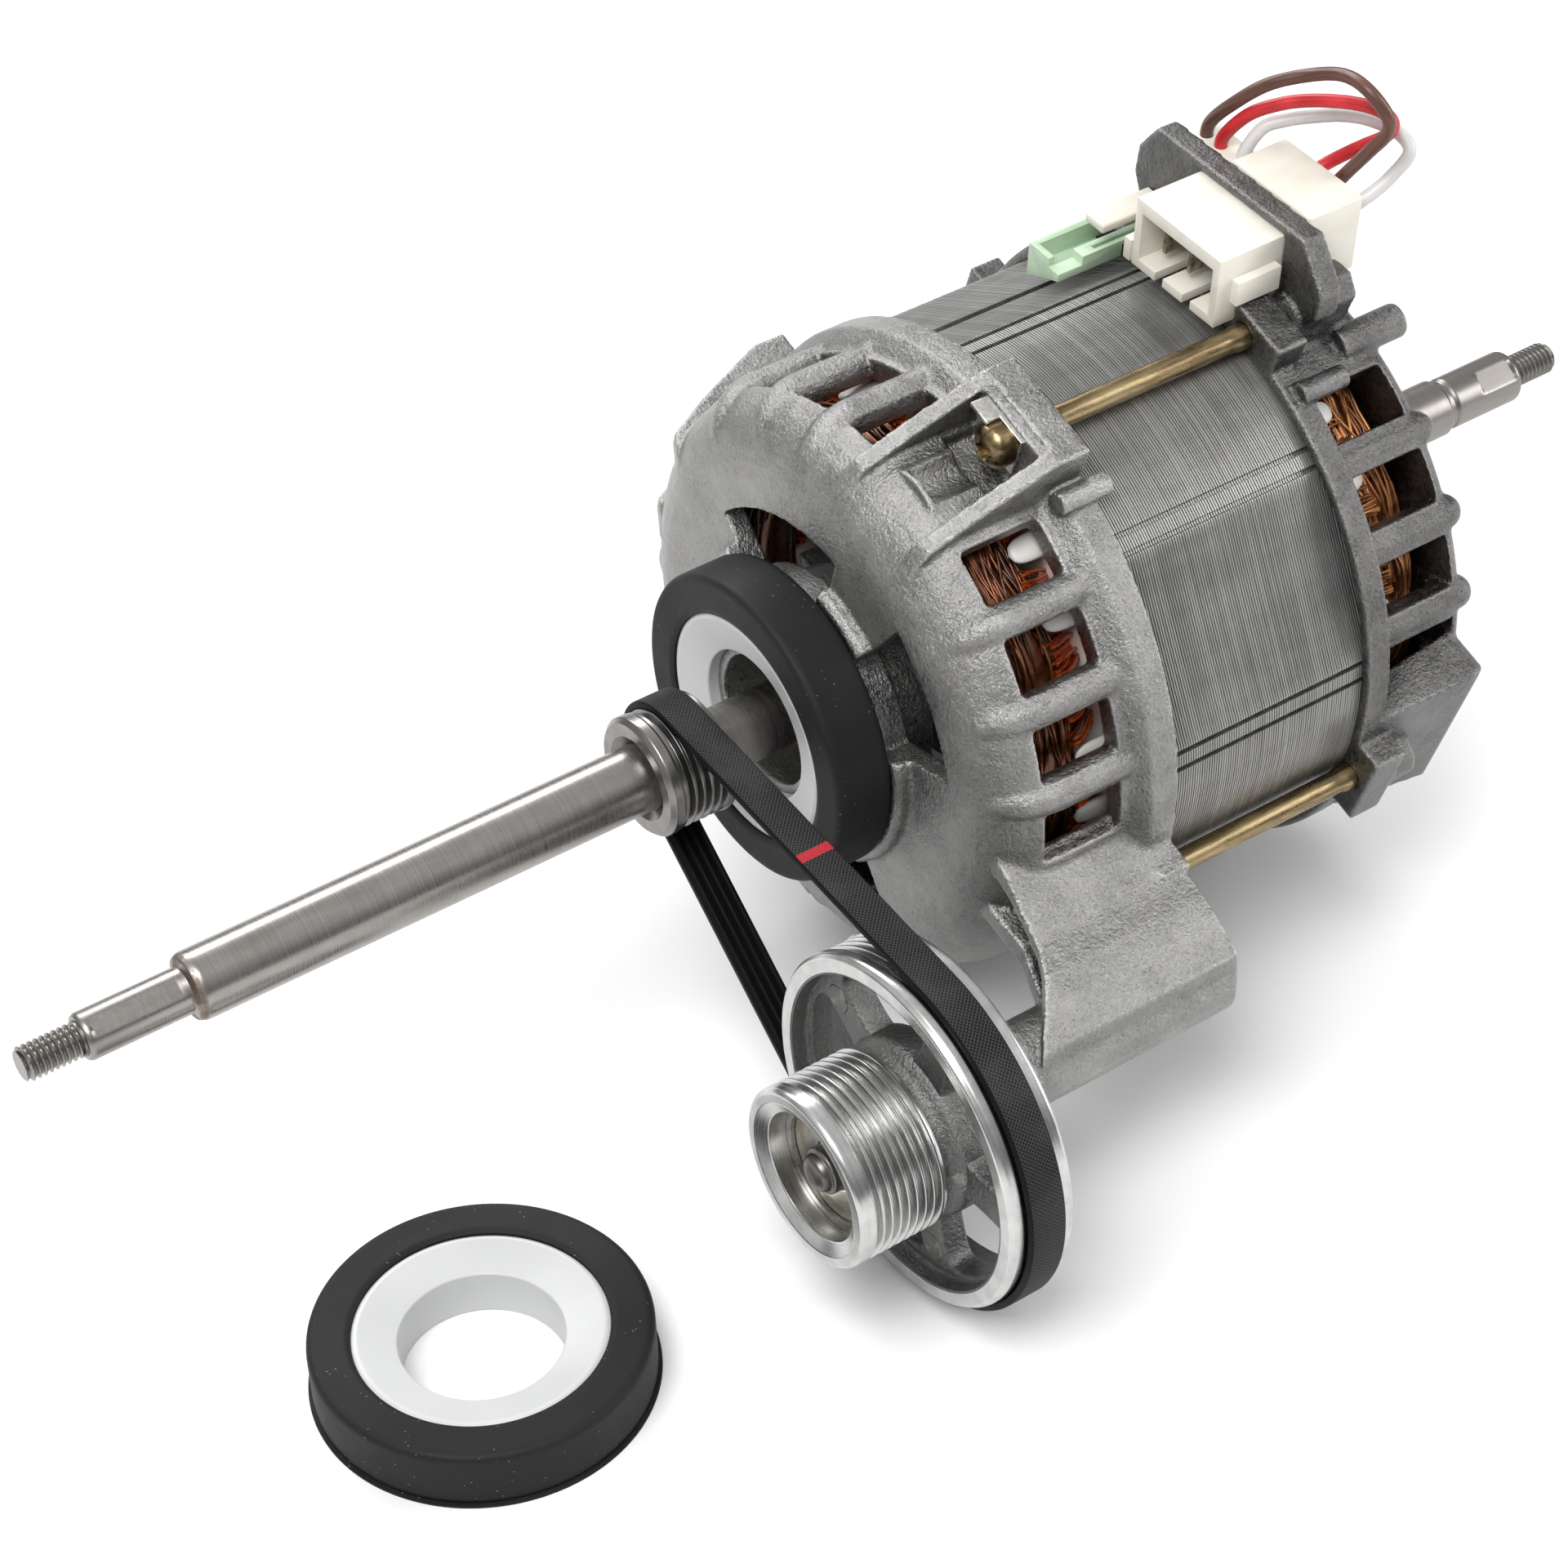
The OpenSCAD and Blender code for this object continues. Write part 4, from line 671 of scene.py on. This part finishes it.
def drum_pulley():
    """The countershaft pulley: a turned rim with four grooves and a turned drum with eight, on a cast hub,
    web and inner rim."""
    rim = [(-24, 27.5, 0.1), (-24, 29.75, 0.25), (-22.95, 30.5, 0.3), (-21.7, 30.5, 0.1)]
    rim += grooved(-21.2, 4, 30.2)
    rim += [(-14.3, 30.5, 0.1), (-12.4, 30.5, 0.3), (-12, 30.1, 0.1), (-12, 27.5, 0.1)]
    drum = [(-41, 13.2, 0.15), (-41, 14.8, 0.25), (-40.3, 15.35, 0.3), (-38.5, DRUM_TIP, 0.1)]
    drum += grooved(-38.3, 8, DRUM_TIP)
    drum += [(-25.3, DRUM_TIP, 0.3), (-24.5, 15.0, 0.2), (-24.5, 11), (-28.7, 11), (-35.8, 11), (-35.8, 11.6),
             (-36.6, 11.6), (-36.6, 11), (-39.8, 11, 0.2)]
    inner = [(-23.9, 27.6), (-23.9, 27.15, 0.15), (-21.4, 26.95, 0.4), (-20.6, 26.3, 0.6), (-17, 26.3, 0.8),
             (-15, 26.9, 0.6), (-12.1, 27.15, 0.15), (-12.1, 27.6)]
    hub = [(-24.6, 11), (-24.6, 13.4, 0.5), (-22.8, 13.7, 0.8), (-21.0, 15.6, 0.9), (-16.2, 15.6, 0.9),
           (-14.2, 13.7, 0.8), (-11, 13.5, 0.5), (-11, 11, 0.2), (-18.8, 11), (-18.8, 9.3), (-24.6, 9.3)]
    bright = turned_metal("turned_drum", (0.44, 0.44, 0.435), (0.66, 0.66, 0.65), 0.22, COUNTER_AXIS)
    rough = casting("cast_web", (0.13, 0.13, 0.128), (0.30, 0.30, 0.29), 0.40, 0.08)
    machined = [turned(eased(p, 2, closed=True), 180, COUNTER_AXIS, ring=True) for p in (rim, drum)]
    piece("drum_turned", machined, bright, "countershaft", ["drum_pulley"], sharp=30)
    cast = [turned(eased(p, 4, closed=True), 150, COUNTER_AXIS, ring=True) for p in (inner, hub)]
    cast += [ejector_mark(spoke) for spoke in MARKED_SPOKES] + [web_cell(k) for k in range(SPOKES)]
    return piece("drum_web", cast, rough, "countershaft", ["drum_pulley"], sharp=45)


def bearing(name, node, x0, width, outer, inner, axis, body):
    """A shielded ball bearing: outer and inner rings with chamfers, and shields set back between them."""
    a, b = inner + (outer - inner) * 0.3, outer - (outer - inner) * 0.25
    x1 = x0 + width
    corners = [(x0, inner + 0.3, 0.2), (x0, a, 0.1), (x0 + 0.5, a, 0.1), (x0 + 0.35, (a + b) / 2, 0.6),
               (x0 + 0.5, b, 0.1), (x0, b, 0.1), (x0, outer - 0.4, 0.2), (x0 + 0.4, outer, 0.2),
               (x1 - 0.4, outer, 0.2), (x1, outer - 0.4, 0.2), (x1, b, 0.1), (x1 - 0.5, b, 0.1),
               (x1 - 0.5, a, 0.1), (x1, a, 0.1), (x1, inner + 0.3, 0.2), (x1 - 0.3, inner, 0.1),
               (x0 + 0.3, inner, 0.1)]
    skin = turned(eased(corners, 2, closed=True), 96, axis, ring=True)
    return piece(name, [skin], bearing_steel, body, [node])


RING_HALF = 5.3


def ring_pair(prefix, place):
    """A damping ring: a rubber tyre with rounded edges on a milky insert whose face is dished towards the
    bore. The loose one also has a low lip. place carries points from the front ring's position to where
    this one lies."""
    tyre = [(-4.9, 20.42), (-5.25, 21.2, 0.4), (-RING_HALF, 27.35, 1.5), (RING_HALF, 27.35, 1.5),
            (RING_HALF, 20.42)]
    lip = [(5.0, 26.5), (5.0, 27.95, 0.1), (RING_HALF, 27.95, 0.1), (RING_HALF, 26.5)]
    insert = [(-2.9, 13.2, 0.3), (-4.75, 19.6, 0.4), (-4.4, 20.4, 0.2), (RING_HALF, 20.4),
              (RING_HALF, 13.2, 0.3)]
    rubber = [turned(eased(tyre, 6, closed=True), 160, ring=True)]
    if prefix == "loose":
        rubber.append(turned(eased(lip, 2, closed=True), 160, ring=True))
    plastic = [turned(eased(insert, 5, closed=True), 160, ring=True)]
    rubber = [(place(points), faces) for points, faces in rubber]
    plastic = [(place(points), faces) for points, faces in plastic]
    piece(prefix + "_tyre", rubber, rubber_finish, "housing", [prefix + "_ring_rubber"])
    piece(prefix + "_insert", plastic, insert_finish, "housing", [prefix + "_ring_insert"])


ROD_HEAD_X, ROD_HEAD_R, ROD_HEAD_RISE = 29, 3.8, 2.3


def tie_rods():
    """Four rods with flared necks and pan heads. A head's face is x(distance, angle): a low crown with a
    recess whose outline has six lobes."""
    neck = eased([(33, ROD_HEAD_R), (33, 2.0, 0.2), (79, 2.0, 1.0), (80.6, 2.35, 0.6), (82.2, 2.35, 0.2),
                  (82.2, 2.0), (91.5, 2.0, 0.3), (91.5, 0)], 3)
    turn = np.linspace(0, TURN, 72, endpoint=False)[None]
    bend = ROD_HEAD_R * np.sin(np.linspace(0.7, math.pi / 2, 12))
    out = np.concatenate([np.linspace(0, 2.3, 24), bend, [ROD_HEAD_R]])[:, None]
    rise = ROD_HEAD_RISE * (1 - np.sqrt(np.clip(1 - (out / ROD_HEAD_R) ** 2, 0, 1)))
    rise[-1] = 33 - ROD_HEAD_X
    star = 1.45 + 0.55 * np.abs(np.cos(3 * turn)) ** 1.5
    recess = 1.4 * np.clip((star - out) / 0.2, 0, 1)
    parts = []
    for angle in ROD_ANGLES:
        axis = (ROD_DISTANCE * math.cos(angle), ROD_DISTANCE * math.sin(angle))
        parts.append(turned(neck, 32, axis))
        parts.append((round_axis(ROD_HEAD_X + rise + recess, out, turn, axis), lattice(len(out), 72)))
    return piece("rods_plated", parts, yellow_zinc(), "housing", ["tie_rods"], sharp=35)


def axle():
    """The axle with its domed nose."""
    corners = [(-39.7, 0), (-39.65, 1.6, 0.5), (-39.1, 2.9, 0.5), (-38.3, 3.2, 0.3), (-37.9, 3.3, 0.1),
               (-37.7, 4.0, 0.3), (-10.9, 4.0), (-10.9, 6.0, 0.2), (-1.5, 6.0, 0.2), (-1.5, 4.0), (27.8, 4.0),
               (27.8, 0)]
    dark = turned_metal("axle_steel", (0.10, 0.09, 0.085), (0.26, 0.24, 0.23), 0.32, COUNTER_AXIS)
    skin = turned(eased(corners, 4), 72, COUNTER_AXIS)
    return piece("axle_turned", [skin], dark, "housing", ["axle"])


# Stator

# The radius at which the widths of seams and grooves are measured.
CUT_R = 52


def stator_stack():
    """The stack of sheets in polar form: each sheet a flat-topped ridge with its own small offset, and a
    round outline cut by four flats, by weld seams in pairs beside them and by one deep groove. A cut has
    its middle, its half width in millimetres at CUT_R and its floor's radius."""
    step = (STACK_X1 - STACK_X0) / SHEETS
    first = STACK_X0 + np.arange(SHEETS) * step
    offset = RANDOM.normal(0, 0.015, SHEETS)
    stations = np.stack([first + 0.05, first + step - 0.16, first + step - 0.06], -1).ravel()
    lift = np.stack([offset, offset, np.full(SHEETS, -0.16)], -1).ravel()
    flats = [111.0 + 45 + 90 * k for k in range(4)]
    seams = [flat + side * 20.75 + d for flat in flats for side in (-1, 1) for d in (-1.75, 1.75)]
    cuts = [(math.radians(s), 0.4, STACK_R - 0.9) for s in seams] + [(math.radians(70), 1.3, 48.0)]
    angle = np.radians(np.arange(0, 360, 2.0))
    for middle, half, _ in cuts:
        edges = [middle + s * (half + e) / CUT_R for s in (-1, 1) for e in (0.06, -0.06)]
        angle = np.concatenate([angle, edges])
    angle = np.unique(np.round(angle % TURN, 6))
    outline = np.full(len(angle), STACK_R)
    for flat in flats:
        away = np.cos(angle - math.radians(flat))
        cut = np.minimum(outline, STACK_FLAT / np.maximum(away, 0.5))
        outline = np.where(away > 0.5, cut, outline)
    for middle, half, floor in cuts:
        gap = np.abs((angle - middle + math.pi) % TURN - math.pi) * CUT_R
        outline = np.where(gap < half, np.minimum(outline, floor), outline)
    bore = np.full((1, len(angle)), 31.5)
    radius = np.concatenate([bore, outline[None] + lift[:, None], bore])
    stations = np.concatenate([[STACK_X0], stations, [STACK_X1]])
    skin = round_axis(stations[:, None], radius, angle[None]), lattice(len(stations), len(angle), ring=True)
    return piece("stack_sheets", [skin], stacked_sheets(), "housing", ["stator_stack"],
                 sharp=25)


def fingers(name, node, x_in, way):
    """White end plate with a rounded finger between each pair of coils, on the side that way (1 or -1)
    gives. A finger's section is a flat ellipse that closes towards its tip as (1 - s^5)^(1/2)."""
    x_out = x_in + way * 2.6
    corners = [(x_in, 32.6), (x_in, 47.1, 0.3), (x_out, 47.1, 0.5), (x_out, 32.6, 0.3)]
    plate = eased(corners if way > 0 else corners[::-1], 2, closed=True)
    parts = [turned(plate, 144, ring=True)]
    rows, cols = 14, 20
    s = np.linspace(0, 1, rows)[:, None]
    turn = np.linspace(0, TURN, cols, endpoint=False)[None]
    swell = np.sqrt(np.clip(1 - s ** 5, 0, 1))
    side = 2.3 * swell * boxy(np.cos(turn), 0.7)
    out = 45.9 - 0.6 * s + 0.85 * swell * np.sin(turn)
    x = x_in + way * (2.0 + 7.2 * s) + 0 * turn
    faces = lattice(rows, cols)
    for k in range(SLOTS):
        at = (k + 0.5) * TURN / SLOTS
        y, z = out * math.cos(at) - side * math.sin(at), out * math.sin(at) + side * math.cos(at)
        grid = np.stack([x, y, z], -1).reshape(-1, 3)
        parts.append((grid, faces if way > 0 else faces[:, ::-1]))
    return piece(name, parts, finger_finish, "housing", [node], sharp=50)


COIL_STRANDS, COIL_RUN, COIL_POINTS, COIL_WIRE_R = 34, 9.5, 9, 0.30


def coil_bundles(name, way, x_in, finish):
    """Strands that leave the slots. Each runs along x, rises by a smooth step and strays a little."""
    k = np.repeat(np.arange(SLOTS), COIL_STRANDS)
    n = len(k)
    column, row = RANDOM.uniform(-1, 1, n)[:, None], RANDOM.uniform(0, 1, n)[:, None]
    s = np.linspace(0, 1, COIL_POINTS)[None]
    ease = s * s * (3 - 2 * s)
    radius = (37.5 + 3.8 * row) * (1 - ease) + (42.3 + 4.1 * row) * ease
    stray = RANDOM.normal(0, 0.25, (n, 1)) * ease
    sideways = column * (2.1 + 1.4 * ease) + stray + 0.3 * np.sin(5 * s + 6 * column)
    angle = k[:, None] * TURN / SLOTS + sideways / radius
    x = x_in + way * (COIL_RUN * s) + 0 * radius
    strands = tubes(round_axis(x, radius, angle).reshape(n, COIL_POINTS, 3), COIL_WIRE_R, 5, (0.1, 0.7, 0.7))
    return piece(name, [strands], finish, "housing", ["slot_coils"], sharp=80)


HEAD_HALF_X, HEAD_MIDDLE_R, HEAD_HALF_R = 5.1, 38.4, 6.4
HEAD_STRANDS, HEAD_POINTS, HEAD_WIRE_R = 420, 26, 0.32


def winding_head(name, node, middle_x, finish, drift, seed):
    """An end winding: a lumpy core, and strands laid on it as arcs. A strand's place on the core's rounded
    box section, phi, drifts as it goes round, so that strands cross."""
    random = np.random.default_rng(seed)
    turn = np.linspace(0, TURN, 180, endpoint=False)[None]
    section = np.linspace(0, TURN, 28, endpoint=False)[:, None]

    def spot(phi, angle, inset):
        """The point at phi on the section at an angle round the axis, so much below the core's outline."""
        c, s = np.cos(phi), np.sin(phi)
        x = middle_x + (HEAD_HALF_X - inset) * boxy(c, 0.7)
        lump = 0.35 * np.sin(SLOTS * angle + 2 * np.sin(3 * angle))
        r = HEAD_MIDDLE_R + (HEAD_HALF_R - inset + lump * (s > 0)) * boxy(s, 0.7)
        return round_axis(x, r, angle)

    core = spot(-section + 0 * turn, turn + 0 * section, 1.0), lattice(28, 180, ring=True)
    column = (HEAD_STRANDS, 1)
    start = random.uniform(0, TURN, column)
    span = random.uniform(0.6, 2.2, column)
    phi = random.uniform(-0.5, math.pi + 0.5, column)
    slope = random.normal(0, drift, column)
    s = np.linspace(0, 1, HEAD_POINTS)[None]
    angle = start + span * s
    place = phi + slope * span * (s - 0.5) + 0.12 * np.sin(7 * angle + 9 * phi)
    inset = random.uniform(0.0, 0.9, column) + 2.2 * (np.clip(np.abs(2 * s - 1) - 0.8, 0, 1) * 5) ** 2 * 0.4
    paths = spot(place, angle, inset).reshape(HEAD_STRANDS, HEAD_POINTS, 3)
    strands = tubes(paths, HEAD_WIRE_R, 5, (1, 0.02, 0.03))
    return piece(name, [core, strands], finish, "housing", [node], sharp=80)


# Leads

PLUG_DIR = math.radians(96)
LEAD_R = 1.15
# Points of the leads as (x, sideways, height), with height along PLUG_DIR.
LEAD_ROUTES = {
    "brown": [
        (100, -18, 64), (100, -18, 69), (101, -13, 76), (104, -9, 80.5), (108, -4, 83.5), (109, 2, 86.5),
        (108.5, 8, 87.5), (110, 12, 84), (110.5, 12, 80.5), (109.5, 10, 76.5), (109, 7, 71.5),
        (108.5, 5, 68), (105, 4.5, 65.5)],
    "red": [
        (100, -14, 64), (100, -14.5, 68), (102, -11.5, 73.5), (105, -8, 76.5), (108, -4, 78.5),
        (111, 2, 80.5), (113, 7, 81.2), (114.1, 9.4, 79.8), (114.2, 8.7, 76.9), (113.1, 5.1, 73.2),
        (112, 2.5, 70.5), (109.5, 0, 67.5), (105, -1, 65)],
    "white": [
        (101, -9.8, 64), (101, -10, 67.5), (104, -9.5, 71.5), (107, -7.5, 73), (110, -5, 74),
        (113, -1, 75.5), (115, 3.5, 76.5), (117, 8.5, 76), (117, 11.5, 74), (114, 11, 70),
        (111.5, 10.5, 68), (109, 10, 66.5), (105, 9.5, 64.5)]}


def curve(route, steps=9):
    """A smooth line through the route's points: cubics whose slope at a point is half the way between its
    neighbours."""
    p = np.array(route, float)
    order = np.arange(len(p) - 1)
    a, b, c, d = (p[np.clip(order + k, 0, len(p) - 1)][:, None] for k in (-1, 0, 1, 2))
    t = np.linspace(0, 1, steps, endpoint=False)[None, :, None]
    square, cube = (2 * a - 5 * b + 4 * c - d) * t ** 2, (3 * b - a - 3 * c + d) * t ** 3
    bends = 0.5 * (2 * b + (c - a) * t + square + cube)
    return np.concatenate([bends.reshape(-1, 3), p[-1:]])


def lead(color, dark, light):
    """One lead: a smooth sleeve along its route, whose points are turned to the side where the plug is."""
    x, side, height = curve(LEAD_ROUTES[color]).T
    path = np.stack([x, height * math.cos(PLUG_DIR) - side * math.sin(PLUG_DIR),
                     height * math.sin(PLUG_DIR) + side * math.cos(PLUG_DIR)], -1)
    sleeve = moulded(color + "_sleeve_skin", dark, light, 0.38, 0.015)
    tube = tubes(path[None], LEAD_R, 20, (0.6, -0.8, 0.1))
    return piece("lead_" + color + "_sleeve", [tube], sleeve, "housing", ["lead_" + color],
                 sharp=60)


# The motor

bearing_steel = turned_metal("bearing_steel", (0.34, 0.32, 0.28), (0.52, 0.50, 0.45), 0.28)
rubber_finish, insert_finish = black_rubber(), milky_insert()
finger_finish = moulded("finger_plastic", (0.66, 0.64, 0.60), (0.80, 0.79, 0.76), 0.36)
cream = moulded("cream_plastic", (0.66, 0.635, 0.55), (0.74, 0.715, 0.64), 0.40)
bright_casting = casting("bright_casting", (0.19, 0.187, 0.182), (0.46, 0.455, 0.445), 0.36, 0.13)
grey_casting = casting("grey_casting", (0.075, 0.073, 0.071), (0.27, 0.266, 0.26), 0.36, 0.14)
enamel = wire("enamel_wire", (0.34, 0.045, 0.010), (0.95, 0.19, 0.035), 0.3)
lacquered = wire("lacquered_wire", (0.022, 0.008, 0.004), (0.20, 0.06, 0.02), 0.35)
bare_copper = wire("copper_wire", (0.09, 0.03, 0.012), (0.66, 0.28, 0.10), 0.2)

shaft()
pinion()
drum_pulley()
belt()
axle()
tie_rods()
bearing("motor_bearing_front", "front_bearing", 8, 10, 16, 5.8, (0, 0), "housing")
bearing("motor_bearing_rear", "rear_bearing", 96.8, 9.2, 16, 5.8, (0, 0), "housing")
bearing("drum_bearing_front", "pulley_bearing_front", -35.7, 7, 10.98, 4.05, COUNTER_AXIS, "countershaft")
bearing("drum_bearing_rear", "pulley_bearing_rear", -18.8, 7, 10.98, 4.05, COUNTER_AXIS, "countershaft")
ring_pair("front", lambda p: p)
ring_pair("loose", lambda p: np.stack([p[:, 2] - 87.7, p[:, 1] - 43.3, FLOOR_Z + RING_HALF - p[:, 0]], -1))
stator_stack()
fingers("front_fingers", "front_insulation", STACK_X0, -1)
fingers("rear_fingers", "rear_insulation", STACK_X1, 1)
coil_bundles("front_coils", -1, STACK_X0, enamel)
coil_bundles("rear_coils", 1, STACK_X1, bare_copper)
winding_head("front_head", "front_winding", 25.9, lacquered, 0.5, 3)
winding_head("rear_head", "rear_winding", 97.6, bare_copper, 1.1, 5)
cast_skin("front_bell", "front_casting", bright_casting, "housing")
cast_skin("rear_bell", "rear_casting", grey_casting, "housing")
for node, name, width in (("socket", "socket_shell", 0.35), ("rear_block", "rear_block_shell", 0.5),
                          ("lead_outlet", "outlet_shell", 0.5), ("cover_tab", "tab_shell", 0.4)):
    softened(node, name, cream, "housing", width, 3)
mint = moulded("mint_plastic", (0.36, 0.50, 0.35), (0.52, 0.68, 0.50))
blade_tin = plated("blade_tin", (0.20, 0.16, 0.12), (0.46, 0.41, 0.34), 0.28)
clip_tin = plated("clip_tin", (0.55, 0.54, 0.50), (0.80, 0.79, 0.75), 0.22)
softened("slot_cover", "cover_shell", mint, "housing", 0.25, 2)
softened("blades", "blade_set", blade_tin, "housing", 0.12, 2)
softened("earth_clip", "clip_folded", clip_tin, "housing", 0.12, 2)
lead("brown", (0.075, 0.030, 0.020), (0.120, 0.050, 0.034))
lead("red", (0.42, 0.012, 0.018), (0.58, 0.022, 0.030))
lead("white", (0.54, 0.535, 0.53), (0.64, 0.635, 0.63))

# Pieces inside that are shown as their solids, each with a finish of its own.
LEFT_AS_SOLIDS = {
    "rotor_core": turned_metal("rotor_iron", (0.12, 0.12, 0.12), (0.24, 0.24, 0.24), 0.38),
    "rotor_cage": casting("cage_aluminium", (0.36, 0.36, 0.37), (0.60, 0.60, 0.61), 0.42, 0.08),
    "wave_washer": plated("spring_steel", (0.36, 0.35, 0.34), (0.52, 0.51, 0.50), 0.26),
    "snap_ring": plated("ring_steel", (0.24, 0.23, 0.21), (0.44, 0.42, 0.38), 0.28)}
for node, finish in LEFT_AS_SOLIDS.items():
    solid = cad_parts[node]
    solid.data.materials.clear()
    solid.data.materials.append(finish)


# Floor, light and camera

MIDDLE = (0, -0.01, 0)


def floor():
    """A pale plain floor, well past the camera's view."""
    corners = [(x, y, FLOOR_Z * MM) for x, y in ((-3, -3), (3, -3), (3, 3), (-3, 3))]
    mesh = bpy.data.meshes.new("floor")
    mesh.from_pydata(corners, [], [(0, 1, 2, 3)])
    mesh.materials.append(Finish("paper", (0.82, 0.82, 0.82), roughness=0.7).material)
    placed("floor", mesh)


def standing(right, up, back, place):
    """The matrix of an object at a place, in metres, from the directions of its own x, y and z."""
    rows = np.stack([right, up, back], 1).tolist()
    return Matrix([[*row, p] for row, p in zip(rows, place)] + [[0, 0, 0, 1]])


def softbox(name, place, size, power):
    """An area light at a place in metres, turned towards the motor's middle."""
    light = bpy.data.lights.new(name, "AREA")
    light.shape, light.size, light.size_y = "RECTANGLE", *size
    light.energy = power
    away = np.array(place, float) - np.array(MIDDLE, float)
    away /= np.linalg.norm(away)
    right = np.cross((0, 0, 1), away)
    right /= np.linalg.norm(right)
    placed(name, light).matrix_world = standing(right, np.cross(away, right), away, place)


def camera():
    """The photograph's viewpoint, worked out from the object's own straight lines and circles."""
    right = np.array([0.8154003, -0.5779694, -0.0327671])
    down = np.array([-0.3873404, -0.5026442, -0.7728624])
    ahead = np.array([0.4302206, 0.6428843, -0.6337271])
    view = bpy.data.cameras.new("camera")
    view.lens, view.sensor_width, view.clip_start = 91.918, 36.0, 0.01
    made = placed("camera", view)
    made.matrix_world = standing(right, -down, -ahead, (-0.285058, -0.429742, 0.408299))
    bpy.context.scene.camera = made


def studio():
    """The room's light: pale overhead and dusky towards the horizon, which bright metal reflects."""
    world = bpy.data.worlds.new("studio")
    world.use_nodes = True
    nodes, link = world.node_tree.nodes, world.node_tree.links.new
    ramp = nodes.new("ShaderNodeMapRange")
    for key, value in (("From Min", 0.0), ("From Max", 0.8), ("To Min", 0.10), ("To Max", 0.80)):
        ramp.inputs[key].default_value = value
    parts = nodes.new("ShaderNodeSeparateXYZ")
    link(nodes.new("ShaderNodeTexCoord").outputs["Generated"], parts.inputs[0])
    link(parts.outputs[2], ramp.inputs["Value"])
    link(ramp.outputs[0], nodes["Background"].inputs["Color"])
    nodes["Background"].inputs["Strength"].default_value = 0.9
    bpy.context.scene.world = world


floor()
softbox("key", (-0.45, -0.30, 0.85), (0.55, 0.55), 9)
softbox("fill", (0.80, -0.55, 0.40), (0.35, 0.6), 5)
softbox("rim", (0.15, 0.85, 0.65), (0.9, 0.35), 7.5)
studio()
camera()
bpy.context.scene.view_settings.view_transform = "Standard"
